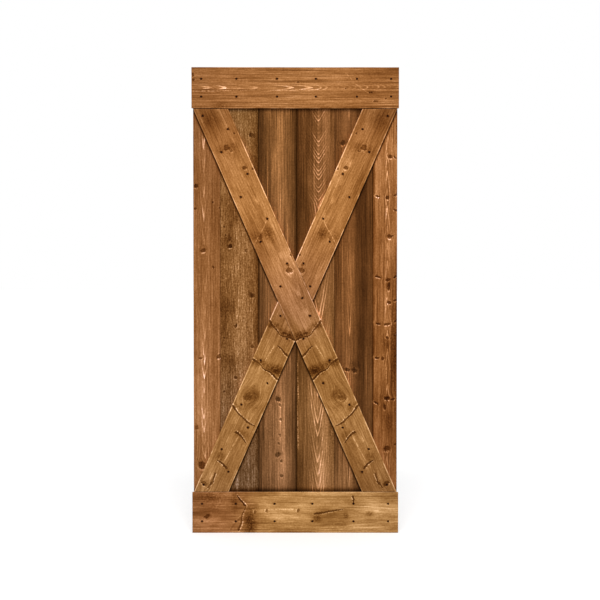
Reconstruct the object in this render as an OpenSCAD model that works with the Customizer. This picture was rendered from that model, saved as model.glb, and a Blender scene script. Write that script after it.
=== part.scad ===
// Leaf of a sliding barn door.
// Six upright tongue-and-groove planks make the panel. A rail crosses each end of
// it, and an X brace of one long and two short boards fills the space between the
// rails. Rails and braces lie on the front of the planks, held by flat-head screws.
// Units are millimetres. +Z is up, the front faces -Y, and the origin is the
// middle of the bottom edge.

/* [Door] */
// Height of the door
door_h = 2134; // [1800:1:2600]
// Thickness of the upright planks
plank_t = 19; // [16:0.5:25]
// Thickness of the rails and braces
board_t = 19; // [16:0.5:25]

/* [Planks] */
// Face width of each of the four full planks
plank_w = 174.6; // [140:0.1:240]
// Face width of the left edge plank, ripped from a full one
left_plank_w = 123; // [90:1:170]
// Face width of the right edge plank, ripped from a full one
right_plank_w = 112; // [90:1:170]
// Open joint between neighbouring plank faces
plank_gap = 0.4; // [0.2:0.1:1.5]
// Width of the chamfer on each plank edge that makes the V of a joint
v_chamfer = 3; // [1:0.5:4]
// Thickness of the tongue
tongue_t = 6; // [4:0.5:7]
// Length of the tongue
tongue_l = 8; // [5:0.5:10]
// Play between a tongue and its groove, on each face and at the bottom
tongue_play = 0.3; // [0.1:0.1:0.6]

/* [Rails and braces] */
// Width of the top and bottom rails
rail_w = 188; // [140:1:240]
// How far a rail stands past the panel at each end
rail_overhang = 6.3; // [0:0.1:12]
// Width of the brace boards
brace_w = 146; // [100:1:180]
// Gap between the end of a brace and the rail that it meets
brace_end_gap = 2; // [0.5:0.5:4]
// Gap between the long brace and the short ones that stop against it
brace_side_gap = 0.6; // [0.4:0.1:2]
// Width of the chamfer on sawn and planed edges
arris = 1.5; // [0.5:0.5:3]

/* [Screws] */
// How far the point of a screw goes into the planks
screw_bite = 13.5; // [10:0.5:14]
// Diameter of the flat head
head_d = 8.3; // [7:0.1:9]
// Diameter of the shank
shank_d = 4.2; // [3.5:0.1:4.8]
// Diameter of the threaded part at the root of its thread
root_d = 3; // [2.4:0.1:3.4]
// Length of the point
point_l = 7; // [4:0.5:8]
// Angle of the countersink
head_angle = 82; // [80:1:100]
// Depth of the head's face below the face of the board
head_sink = 0.5; // [0.2:0.1:1]
// Play round a screw in its hole
screw_play = 0.05; // [0.05:0.05:0.3]
// Across the arms of the cross recess in the head
recess_w = 4.6; // [3.5:0.1:5]
// Thickness of each arm of the recess
recess_arm = 1; // [0.8:0.1:1.4]
// Depth of the recess
recess_h = 2; // [1:0.1:2.4]

/* [Screw places] */
// Distance from the middle of a rail to each row of screws
rail_row = 40; // [25:1:60]
// Distance from the panel's side to the screws in an edge plank
edge_column = 38; // [25:1:60]
// Sideways drift of each column of screws in the top rail
top_drift = [0, -12, -1, 1, 14, 8]; // [-20:1:20]
// Sideways drift of each column of screws in the bottom rail
bottom_drift = [0, -17, -13, -14, 0, -2]; // [-20:1:20]
// Number of screw pairs in each half of a brace
pair_count = 4; // [2:1:6]
// Distance along a brace from the crossing to the middle of its first screw pair
first_pair = 32; // [30:1:60]
// Distance along a brace from its outer end to the middle of its last screw pair
last_pair = 160; // [120:1:200]
// Distance along a brace from the middle of a pair to each of its screws
pair_along = 42; // [35:1:60]
// Distance across a brace from its middle line to each screw
pair_across = 35; // [20:1:40]
// Distance from the panel's side to the screw in a brace's outer corner
corner_side = 45; // [35:1:60]
// Distance from the rail to the screw in a brace's outer corner
corner_rail = 34; // [25:1:50]

/* [Hidden] */
$fn = 48;
// Extra length of a cutting shape past the surface that it cuts
eps = 1;

// Face widths of the planks from left to right, and the seams between them
plank_ws = [left_plank_w, plank_w, plank_w, plank_w, plank_w, right_plank_w];
last_plank = len(plank_ws) - 1;
panel_w = left_plank_w + 4 * plank_w + right_plank_w;
function seam(i) = i == 0 ? -panel_w / 2 : seam(i - 1) + plank_ws[i - 1];

// Planes across the thickness, front to back
front_y = -(board_t + plank_t) / 2;
panel_y = front_y + board_t;

// The space between the rails, and the slope of a brace that fills it corner to corner
open_h = door_h - 2 * rail_w;
middle_z = door_h / 2;
brace_reach = open_h - 2 * brace_end_gap;
brace_diagonal = norm([panel_w, open_h]);
slope = acos(brace_w / brace_diagonal) - atan2(open_h, panel_w);
brace_stock = brace_diagonal + 2 * brace_w;

// Along a brace from the middle of the door: where the other brace's edge crosses
// it, where it ends, and how its screw pairs are spread between the two
crossing = brace_w / 2 / sin(2 * slope);
half_brace = open_h / 2 / cos(slope);
nearest_pair = crossing + first_pair;
pair_pitch = (half_brace - last_pair - nearest_pair) / (pair_count - 1);

// Height of a screw's head
head_h = (head_d - shank_d) / 2 / tan(head_angle / 2);

// ---- Places of the screws, as [x, z] ----

function plank_mid(i) = seam(i) + plank_ws[i] / 2;
function column_x(i) =
    i == 0 ? seam(0) + edge_column :
    i == last_plank ? seam(last_plank) + plank_ws[last_plank] - edge_column :
    plank_mid(i);
function rail_places(rail_z, drift) = [
    for (i = [0:last_plank], row = [-1, 1])
        [column_x(i) + drift[i], rail_z + row * rail_row]
];

// A point on a brace, from its distance down and across it. lean is 1 for the
// brace that falls to the right and -1 for the one that falls to the left.
function on_brace(lean, along, across) = [
    lean * (along * sin(slope) + across * cos(slope)),
    middle_z - along * cos(slope) + across * sin(slope)
];
// The pairs of one half of a brace. level is 1 above the middle and -1 below it.
function pair_places(lean, level) = [
    for (i = [0:pair_count - 1], end = [-1, 1])
        let (pair = -level * (nearest_pair + i * pair_pitch))
        on_brace(lean, pair + end * pair_along, -end * pair_across)
];
function corner_place(side, level) = [
    side * (panel_w / 2 - corner_side),
    middle_z + level * (open_h / 2 - corner_rail)
];

top_places = rail_places(door_h - rail_w / 2, top_drift);
bottom_places = rail_places(rail_w / 2, bottom_drift);
long_places = concat(
    pair_places(1, 1), pair_places(1, -1),
    [on_brace(1, 0, pair_across), corner_place(-1, 1), corner_place(1, -1)]
);
upper_places = concat(pair_places(-1, 1), [corner_place(1, 1)]);
lower_places = concat(pair_places(-1, -1), [corner_place(-1, -1)]);
all_places = concat(top_places, bottom_places, long_places, upper_places, lower_places);

// ---- Screws and their holes ----

// Puts children at each place, their own Z pointing into the door from its face
module at_places(places) {
    for (place = places)
        translate([place[0], front_y, place[1]]) rotate([-90, 0, 0]) children();
}

// A screw's outline, from the middle of its head's face out and down to its point.
// The plain shank ends at the back of the rail or brace that the screw holds.
module screw_outline(play) {
    head_r = head_d / 2 + play;
    shank_r = shank_d / 2 + play;
    root_r = root_d / 2 + play;
    tip = board_t + screw_bite;
    polygon([
        [0, head_sink],
        [head_r, head_sink],
        [shank_r, head_sink + head_h],
        [shank_r, board_t],
        [root_r, board_t],
        [root_r, tip - point_l],
        [0, tip + play]
    ]);
}

module screw() {
    difference() {
        rotate_extrude() screw_outline(0);
        for (turn = [0, 90])
            rotate([0, 0, turn])
                translate([-recess_w / 2, -recess_arm / 2, head_sink - eps])
                    cube([recess_w, recess_arm, recess_h + eps]);
    }
}

module screw_hole() {
    rotate_extrude() screw_outline(screw_play);
    translate([0, 0, -eps])
        cylinder(r = head_d / 2 + screw_play, h = head_sink + eps);
}

module screws(places) {
    color([0.09, 0.06, 0.05]) at_places(places) screw();
}

// ---- Planks ----

// The four corners of a plank's section, cut back by the V chamfer on a jointed
// side and by the arris on a ripped one
module plank_blank(w, left_cut, right_cut) {
    polygon([
        [left_cut, 0], [w - right_cut, 0], [w, right_cut], [w, plank_t - right_cut],
        [w - right_cut, plank_t], [left_cut, plank_t], [0, plank_t - left_cut], [0, left_cut]
    ]);
}

module plank_section(w, has_tongue, has_groove) {
    left_cut = has_tongue ? v_chamfer : arris;
    right_cut = has_groove ? v_chamfer : arris;
    groove_t = tongue_t + 2 * tongue_play;
    groove_l = tongue_l + tongue_play - plank_gap;
    difference() {
        union() {
            plank_blank(w, left_cut, right_cut);
            if (has_tongue)
                translate([-tongue_l, (plank_t - tongue_t) / 2])
                    square([tongue_l + eps, tongue_t]);
        }
        if (has_groove)
            translate([w - groove_l, (plank_t - groove_t) / 2])
                square([groove_l + eps, groove_t]);
    }
}

module plank(i, tint) {
    has_tongue = i > 0;
    has_groove = i < last_plank;
    left_x = seam(i) + (has_tongue ? plank_gap / 2 : 0);
    right_x = seam(i) + plank_ws[i] - (has_groove ? plank_gap / 2 : 0);
    reach = tongue_l + head_d;
    near = [for (p = all_places) if (p[0] > left_x - reach && p[0] < right_x + reach) p];
    color(tint)
        difference() {
            translate([left_x, panel_y, 0])
                linear_extrude(door_h) plank_section(right_x - left_x, has_tongue, has_groove);
            at_places(near) screw_hole();
        }
}

// ---- Rails and braces ----

// A board of the given width, running up Z from 0 and centred on X, its front at
// the front of the door and its two long front edges chamfered
module board(w, length) {
    translate([0, front_y, 0])
        linear_extrude(length)
            polygon([
                [-w / 2, arris], [-w / 2 + arris, 0], [w / 2 - arris, 0], [w / 2, arris],
                [w / 2, board_t], [-w / 2, board_t]
            ]);
}

module rail(mid_z, places) {
    rail_l = panel_w + 2 * rail_overhang;
    color([0.68, 0.43, 0.22])
        difference() {
            translate([-rail_l / 2, 0, mid_z]) rotate([0, 90, 0]) board(rail_w, rail_l);
            at_places(places) screw_hole();
        }
}

// A brace board lying on the diagonal, before its ends are cut
module leaning_board(lean, w) {
    translate([0, 0, middle_z])
        rotate([0, -lean * slope, 0])
            translate([0, 0, -brace_stock / 2]) board(w, brace_stock);
}

// The space that a brace may fill. level is 0 for all of it, 1 for the half above
// the middle and -1 for the half below. A half runs on past the middle, because
// the long brace is what cuts a short one off there.
module brace_space(level) {
    low = level > 0 ? -brace_w : -brace_reach / 2;
    high = level < 0 ? brace_w : brace_reach / 2;
    translate([-panel_w / 2, front_y - eps, middle_z + low])
        cube([panel_w, board_t + 2 * eps, high - low]);
}

module long_brace() {
    color([0.7, 0.46, 0.24])
        difference() {
            intersection() {
                leaning_board(1, brace_w);
                brace_space(0);
            }
            at_places(long_places) screw_hole();
        }
}

// Everything on the far side of the long brace's edge from a short brace: the
// long brace itself, its side gap, and all that lies beyond it
module beyond_long_brace(level) {
    side = brace_stock;
    translate([0, 0, middle_z])
        rotate([0, -slope, 0])
            translate([
                level > 0 ? brace_w / 2 + brace_side_gap - side : -brace_w / 2 - brace_side_gap,
                front_y - eps, -side / 2
            ])
                cube([side, board_t + 2 * eps, side]);
}

module short_brace(level, places) {
    color([0.66, 0.43, 0.22])
        difference() {
            intersection() {
                leaning_board(-1, brace_w);
                brace_space(level);
            }
            beyond_long_brace(level);
            at_places(places) screw_hole();
        }
}

plank(0, [0.58, 0.36, 0.2]);  // plank_1
plank(1, [0.5, 0.34, 0.18]);  // plank_2
plank(2, [0.45, 0.3, 0.16]);  // plank_3
plank(3, [0.42, 0.27, 0.15]);  // plank_4
plank(4, [0.4, 0.25, 0.13]);  // plank_5
plank(5, [0.57, 0.35, 0.18]);  // plank_6
rail(door_h - rail_w / 2, top_places);  // top_rail
rail(rail_w / 2, bottom_places);  // bottom_rail
long_brace();
short_brace(1, upper_places);  // upper_short_brace
short_brace(-1, lower_places);  // lower_short_brace
screws(top_places);  // top_rail_screws
screws(bottom_places);  // bottom_rail_screws
screws(long_places);  // long_brace_screws
screws(upper_places);  // upper_short_brace_screws
screws(lower_places);  // lower_short_brace_screws
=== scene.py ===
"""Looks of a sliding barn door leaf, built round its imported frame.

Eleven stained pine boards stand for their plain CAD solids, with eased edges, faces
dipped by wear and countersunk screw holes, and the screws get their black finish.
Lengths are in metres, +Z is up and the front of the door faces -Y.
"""

import logging
import math
from collections.abc import Iterable, Sequence
from dataclasses import dataclass, field
from enum import Enum

import bmesh
import bpy
import numpy as np
from mathutils import Matrix, Vector, noise


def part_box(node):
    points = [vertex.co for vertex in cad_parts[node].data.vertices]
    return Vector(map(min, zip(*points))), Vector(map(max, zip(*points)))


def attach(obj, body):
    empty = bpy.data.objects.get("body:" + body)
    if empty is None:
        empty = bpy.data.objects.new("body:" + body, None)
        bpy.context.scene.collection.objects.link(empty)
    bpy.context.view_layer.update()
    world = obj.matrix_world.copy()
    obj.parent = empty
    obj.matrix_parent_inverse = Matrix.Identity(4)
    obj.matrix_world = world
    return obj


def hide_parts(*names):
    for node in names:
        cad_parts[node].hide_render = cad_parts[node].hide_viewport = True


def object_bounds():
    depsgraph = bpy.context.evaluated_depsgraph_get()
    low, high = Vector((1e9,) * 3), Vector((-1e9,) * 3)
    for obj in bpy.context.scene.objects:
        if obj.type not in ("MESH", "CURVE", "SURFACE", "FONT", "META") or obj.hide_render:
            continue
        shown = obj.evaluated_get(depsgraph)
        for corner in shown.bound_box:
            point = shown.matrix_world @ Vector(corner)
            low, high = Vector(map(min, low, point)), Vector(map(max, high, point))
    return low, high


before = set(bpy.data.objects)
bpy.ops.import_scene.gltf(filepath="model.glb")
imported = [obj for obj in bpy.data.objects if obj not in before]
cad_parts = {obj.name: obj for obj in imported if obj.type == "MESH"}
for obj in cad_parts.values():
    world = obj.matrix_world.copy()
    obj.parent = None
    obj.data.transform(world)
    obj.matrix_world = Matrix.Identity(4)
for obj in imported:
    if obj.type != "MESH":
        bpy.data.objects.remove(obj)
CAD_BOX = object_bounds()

LOG = logging.getLogger("barn_door")

Colour = tuple[float, float, float]
Scale = tuple[float, float, float]
Socket = bpy.types.NodeSocket
Points = np.ndarray

# Sizes that the frame doesn't name, and other settings
TONGUE_LENGTH = 0.008
TONGUE_HALF = 0.003
GROOVE_HALF = 0.0033
GROOVE_DEPTH = 0.0079
V_CHAMFER = 0.003
BRACE_WIDTH = 0.146
BRACE_GAP = 0.0006
MESH_CELL = 0.006
SPIKE_HALF = 0.0034
TINY = 1e-6
WHITE = (1.0, 1.0, 1.0, 1.0)
PALE_GREY = (0.9, 0.9, 0.9, 1.0)
SHARP_ANGLE = math.radians(32)

# The warm cast of the stain, and a distance past which a mark doesn't show
AMBER = (0.95, 0.92, 0.85)
FAR = 9.0


def tone(code: str) -> Colour:
    """Turns a colour written as on a paint chart into the renderer's linear values.

    Args:
        code: Six hexadecimal digits, two for each of red, green and blue.

    Returns:
        Linear red, green and blue.
    """
    parts = [int(code[i : i + 2], 16) / 255 for i in (0, 2, 4)]
    red, green, blue = (
        p / 12.92 if p <= 0.04045 else ((p + 0.055) / 1.055) ** 2.4 for p in parts
    )
    return red, green, blue


def coordinates(mesh: bpy.types.Mesh) -> Points:
    """Reads the places of a mesh's points.

    Args:
        mesh: The mesh.

    Returns:
        A row of X, Y and Z for each point.
    """
    flat = np.empty(len(mesh.vertices) * 3, dtype=np.float32)
    mesh.vertices.foreach_get("co", flat)
    return flat.reshape(-1, 3)


def settle(bm: bmesh.types.BMesh, name: str) -> bpy.types.Object:
    """Turns a finished bmesh into an object in the scene.

    Args:
        bm: The shape, which is freed.
        name: The name of the object and of its mesh.

    Returns:
        The object.
    """
    mesh = bpy.data.meshes.new(name)
    bm.to_mesh(mesh)
    bm.free()
    made = bpy.data.objects.new(name, mesh)
    bpy.context.scene.collection.objects.link(made)
    return made


def bevel(
    bm: bmesh.types.BMesh, edges: list[bmesh.types.BMEdge], offset: float, steps: int
) -> None:
    """Rounds edges in a few steps, or chamfers them in one."""
    bmesh.ops.bevel(
        bm,
        geom=edges,
        offset=offset,
        segments=steps,
        profile=0.5,
        affect="EDGES",
        material=-1,
    )


class Lie(Enum):
    """How a board lies in the door."""

    UPRIGHT = "upright"
    LEVEL = "level"
    FALLS_RIGHT = "falls right"
    FALLS_LEFT = "falls left"


@dataclass(frozen=True)
class Lay:
    """Where a board's own axes are: X across it, Y through it and Z along it.

    A board that falls left is laid out as the mirror image of one that falls right,
    so the two share their outlines and their figure.
    """

    lie: Lie
    middle: tuple[float, float]
    slope: float = 0.0

    @property
    def turn(self) -> float:
        """The board's turn about Y."""
        turns = {
            Lie.UPRIGHT: 0.0,
            Lie.LEVEL: math.pi / 2,
            Lie.FALLS_RIGHT: -self.slope,
            Lie.FALLS_LEFT: self.slope,
        }
        return turns[self.lie]

    @property
    def hand(self) -> float:
        """-1 for a mirrored board and 1 for any other."""
        return -1.0 if self.lie is Lie.FALLS_LEFT else 1.0

    @property
    def place(self) -> Vector:
        """The board's middle in the door, with no shift through it."""
        return Vector((self.middle[0], 0.0, self.middle[1]))

    def matrix(self) -> Matrix:
        """The change from the board's own axes to the door's."""
        flip = Matrix.Diagonal((self.hand, 1.0, 1.0, 1.0))
        return Matrix.Translation(self.place) @ Matrix.Rotation(self.turn, 4, "Y") @ flip


@dataclass(frozen=True)
class Knot:
    """A knot, seen as an ellipse on the face of a board.

    A branch that was sawn along its length shows as a spike across the board, and
    one with only a glint is a pale line or scratch.

    Attributes:
        across: Place across the board, from its middle.
        along: Place along the board, from its middle.
        wide: Half its size across the board.
        tall: Half its size along the board.
        turn: Its turn on the face, in degrees.
        core: How dark it is, where 1 is nearly black.
        halo: How dark the stain is round it, where 1 is as dark as the core.
        glint: How bright the pale line beside it is, where 1 is plain to see.
        flow: How far the grain parts round it, from 0 to 1.
        spike: Whether it is as thick at its ends as in its middle.
    """

    BEND = 0.003
    BEND_RATE = 80.0
    BEND_SHIFT = 40.0
    NARROWING = 0.4
    NARROWS_WITHIN = 1.2

    across: float
    along: float
    wide: float
    tall: float
    turn: float = 0.0
    core: float = 0.85
    halo: float = 0.45
    glint: float = 0.15
    flow: float = 1.0
    spike: bool = False

    def spot(self, points: Points) -> Points:
        """Places points as seen from the knot, whose rim is at a distance of 1.

        Args:
            points: Places in the board's own axes.

        Returns:
            Two numbers for each point, along the knot's width and height.
        """
        turn = math.radians(self.turn)
        aside, above = points[:, 0] - self.across, points[:, 2] - self.along
        bend = np.sin(self.BEND_RATE * aside + self.BEND_SHIFT * self.along)
        above = above + self.BEND * bend
        side = (aside * math.cos(turn) + above * math.sin(turn)) / self.wide
        end = (above * math.cos(turn) - aside * math.sin(turn)) / self.tall
        if self.spike:
            within = np.clip(side, -self.NARROWS_WITHIN, self.NARROWS_WITHIN)
            end = end / (1.0 - self.NARROWING * within)
        return np.stack((side, end), axis=1)

    def distance(self, points: Points) -> Points:
        """How far points are from the knot's middle, where its rim is at 1."""
        side, end = self.spot(points).T
        return np.hypot(side * np.abs(side) ** 3 if self.spike else side, end)

    def half_size(self, reach: float) -> tuple[float, float]:
        """Half the size of the patch that the knot marks.

        Args:
            reach: How far its marks spread, in sizes of the knot.

        Returns:
            The size across the board and along it.
        """
        turn = math.radians(self.turn)
        side = self.wide * (reach**0.25 if self.spike else reach)
        end = self.tall * reach
        c, s = abs(math.cos(turn)), abs(math.sin(turn))
        return c * side + s * end, s * side + c * end


def spike(
    start: tuple[float, float], end: tuple[float, float], core: float, halo: float, glint: float
) -> Knot:
    """A thin knot or line from one point on a board's face to another.

    Args:
        start: One end, across and along.
        end: The other end, across and along.
        core: How dark it is.
        halo: How dark the stain is beside it.
        glint: How bright the pale line beside it is.

    Returns:
        The spike as a knot.
    """
    way = Vector(end) - Vector(start)
    return Knot(
        across=(start[0] + end[0]) / 2,
        along=(start[1] + end[1]) / 2,
        wide=way.length / 2,
        tall=SPIKE_HALF,
        turn=math.degrees(math.atan2(way.y, way.x)),
        core=core,
        halo=halo,
        glint=glint,
        flow=0.0,
        spike=True,
    )


def scratch(start: tuple[float, float], end: tuple[float, float], glint: float) -> Knot:
    """A pale line from one point on a board's face to another."""
    return spike(start, end, core=0.0, halo=0.0, glint=glint)


def smudge(across: float, along: float, wide: float, tall: float, halo: float) -> Knot:
    """A dark patch with no knot in it."""
    return Knot(across, along, wide, tall, core=0.0, halo=halo, glint=0.0, flow=0.0)


@dataclass(frozen=True)
class ShadedCorner:
    """Painted shade on the planks in the corner beside a rail or brace.

    Attributes:
        slope: Angle of the corner above the horizontal.
        start: A place on the corner, across the door and up it.
        wide: How far out the painted shade spreads.
    """

    BEHIND = -0.02

    slope: float
    start: tuple[float, float]
    wide: float

    def distance(self, points: Points) -> Points:
        """How far points lie out from the corner.

        Args:
            points: Places in the door.

        Returns:
            A share of the spread for each point.
        """
        aside, above = points[:, 0] - self.start[0], points[:, 2] - self.start[1]
        out = above * math.cos(self.slope) - aside * math.sin(self.slope)
        return np.where(out > self.BEHIND, np.abs(out) / self.wide, FAR)


@dataclass(frozen=True)
class KnotMap:
    """Writes a board's knots on its mesh, for the wood's material to read.

    Each point of the mesh is given its place as seen from the nearest knot, with
    that knot's strengths. Knots close to each other go in different layers.

    Attributes:
        knots: The board's knots.
        shaded_corners: Corners on the board that get painted shade.
        screws: Places of the screws, across the door and up it.
        reach: How far a knot's marks spread, in sizes of the knot.
        spare: The least room between two knots of one layer.
        screw_hole_shade: How far the painted shade in and round a screw hole reaches from its
            middle.
        flow_reach: How far the grain parts round a knot, in sizes of the knot.
    """

    knots: tuple[Knot, ...]
    shaded_corners: tuple[ShadedCorner, ...] = ()
    screws: Points = field(default_factory=lambda: np.empty((0, 2)))
    reach: float = 3.0
    spare: float = 0.014
    screw_hole_shade: float = 0.0046
    flow_reach: float = 2.0

    def layers(self) -> list[list[Knot]]:
        """Sorts the knots into layers in which no two marks come near each other.

        Returns:
            The knots of each layer.
        """
        made: list[list[Knot]] = []
        for knot in self.knots:
            clear = [layer for layer in made if all(self._apart(knot, k) for k in layer)]
            if clear:
                clear[0].append(knot)
            else:
                made.append([knot])
        return made

    def _apart(self, one: Knot, other: Knot) -> bool:
        """Whether the marks of two knots are well apart.

        Args:
            one: A knot.
            other: Another knot.

        Returns:
            True if they can share a layer.
        """
        (wide, tall), (other_wide, other_tall) = (k.half_size(self.reach) for k in (one, other))
        aside = abs(one.across - other.across) - wide - other_wide
        above = abs(one.along - other.along) - tall - other_tall
        return max(aside, above) > self.spare

    def write(self, mesh: bpy.types.Mesh, lay: Lay) -> None:
        """Writes the layers, the parting of the grain and the painted shade on a mesh.

        Args:
            mesh: The board's mesh, in place in the door.
            lay: Where the board's own axes are.
        """
        places = coordinates(mesh)
        back = np.array(lay.matrix().inverted())
        points = places @ back[:3, :3].T + back[:3, 3]
        parting = np.zeros(len(points))
        for knot in self.knots:
            near = np.exp(-((knot.distance(points) / self.flow_reach) ** 2)) * knot.flow
            parting -= (points[:, 0] - knot.across) * near
        self._put(mesh, "parting", "FLOAT", parting)
        # Painted shade in the corners under the top rail and the braces, and above the bottom rail
        self._put(mesh, "corner_shade", "FLOAT", self._nearest_shaded_corner(places))
        # Painted shade in and round the screw holes
        self._put(mesh, "screw_hole_shade", "FLOAT", self._by_screw_holes(places))
        for i, layer in enumerate(self.layers()):
            self._write_layer(mesh, i, layer, points)

    def _nearest_shaded_corner(self, points: Points) -> Points:
        """How far points are from the nearest corner that gets painted shade."""
        away = [corner_shade.distance(points) for corner_shade in self.shaded_corners]
        return np.stack(away).min(axis=0) if away else np.full(len(points), FAR)

    def _by_screw_holes(self, points: Points) -> Points:
        """Finds the points in and round a screw hole, which get painted shade.

        Args:
            points: Places in the door.

        Returns:
            True for each such point.
        """
        near = np.zeros(len(points), dtype=bool)
        for across, up in self.screws:
            near |= np.hypot(points[:, 0] - across, points[:, 2] - up) < self.screw_hole_shade
        return near & (points[:, 1] < CAD_BOX[0].y + self.screw_hole_shade)

    def _write_layer(
        self, mesh: bpy.types.Mesh, i: int, layer: list[Knot], points: Points
    ) -> None:
        """Writes the places and strengths of one layer's knots.

        Args:
            mesh: The board's mesh.
            i: The layer's number.
            layer: Its knots.
            points: The mesh's points in the board's own axes.
        """
        far = np.stack([(k.distance(points) - self.reach) * k.tall for k in layer])
        nearest = far.argmin(axis=0)
        spots = np.stack([k.spot(points) for k in layer])[nearest, np.arange(len(points))]
        long = np.array([float(k.spike) for k in layer])[nearest]
        marks = np.array([(k.core, k.halo, k.glint, 1.0) for k in layer])[nearest]
        marks[far.min(axis=0) > 0.0] = 0.0
        self._put(mesh, f"spot_{i}", "FLOAT_VECTOR", np.stack((spots[:, 0], long, spots[:, 1]), 1))
        self._put(mesh, f"marks_{i}", "FLOAT_COLOR", marks)

    def _put(self, mesh: bpy.types.Mesh, name: str, kind: str, values: Points) -> None:
        """Writes one value for each point of a mesh.

        Args:
            mesh: The mesh.
            name: The name that materials read it by.
            kind: What kind of value it is.
            values: The values, in the order of the points.
        """
        names = {"FLOAT": "value", "FLOAT_VECTOR": "vector", "FLOAT_COLOR": "color"}
        made = mesh.attributes.new(name, kind, "POINT")
        made.data.foreach_set(names[kind], values.astype(np.float32).ravel())


@dataclass(frozen=True)
class Figure:
    """How a board was sawn from its log, which sets the pattern of its grain.

    Attributes:
        heart_across: Place of the log's heart across the board.
        heart_depth: Depth of the heart behind the door's middle plane.
        taper: Slope of the log's surface against the board's. Its sign points the
            arches of the grain up the board or down it.
        bright: Strength of the pale lines in the strip over the heart.
        plain: Strength of the pale lines elsewhere.
        ring: Width of a growth ring.
        sway: How far the rings wander along the board.
        column: Width of the strip over the heart.
        bunch: Extra taper where the arches crowd together.
        bunch_span: Where they crowd, as a stretch along the board.
    """

    heart_across: float
    heart_depth: float
    taper: float
    bright: float
    plain: float
    ring: float = 0.004
    sway: float = 0.006
    column: float = 0.02
    bunch: float = 0.0
    bunch_span: tuple[float, float] = (0.0, 0.1)


@dataclass(frozen=True)
class Stain:
    """The stain on a board.

    Attributes:
        along: Its tones along the board, from 0 at the low end to 1.
        across: Its strength across the board, from 0 at the left or top edge to 1; dark edges are
            stain and painted shade.
        wear_and_highlight: How pale the left or top edge is, from wear and a painted highlight,
            and the right or bottom one.
        streak: Strength of the long streaks.
        cloud: Strength of the blotches.
        fleck: Strength of the fine speckle.
        drain: How many times faster green and blue darken than red.
    """

    along: tuple[tuple[float, str], ...]
    across: tuple[tuple[float, float], ...]
    wear_and_highlight: tuple[float, float] = (0.0, 0.0)
    streak: float = 1.4
    cloud: float = 1.0
    fleck: float = 1.0
    drain: tuple[float, float] = (1.28, 1.85)


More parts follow.
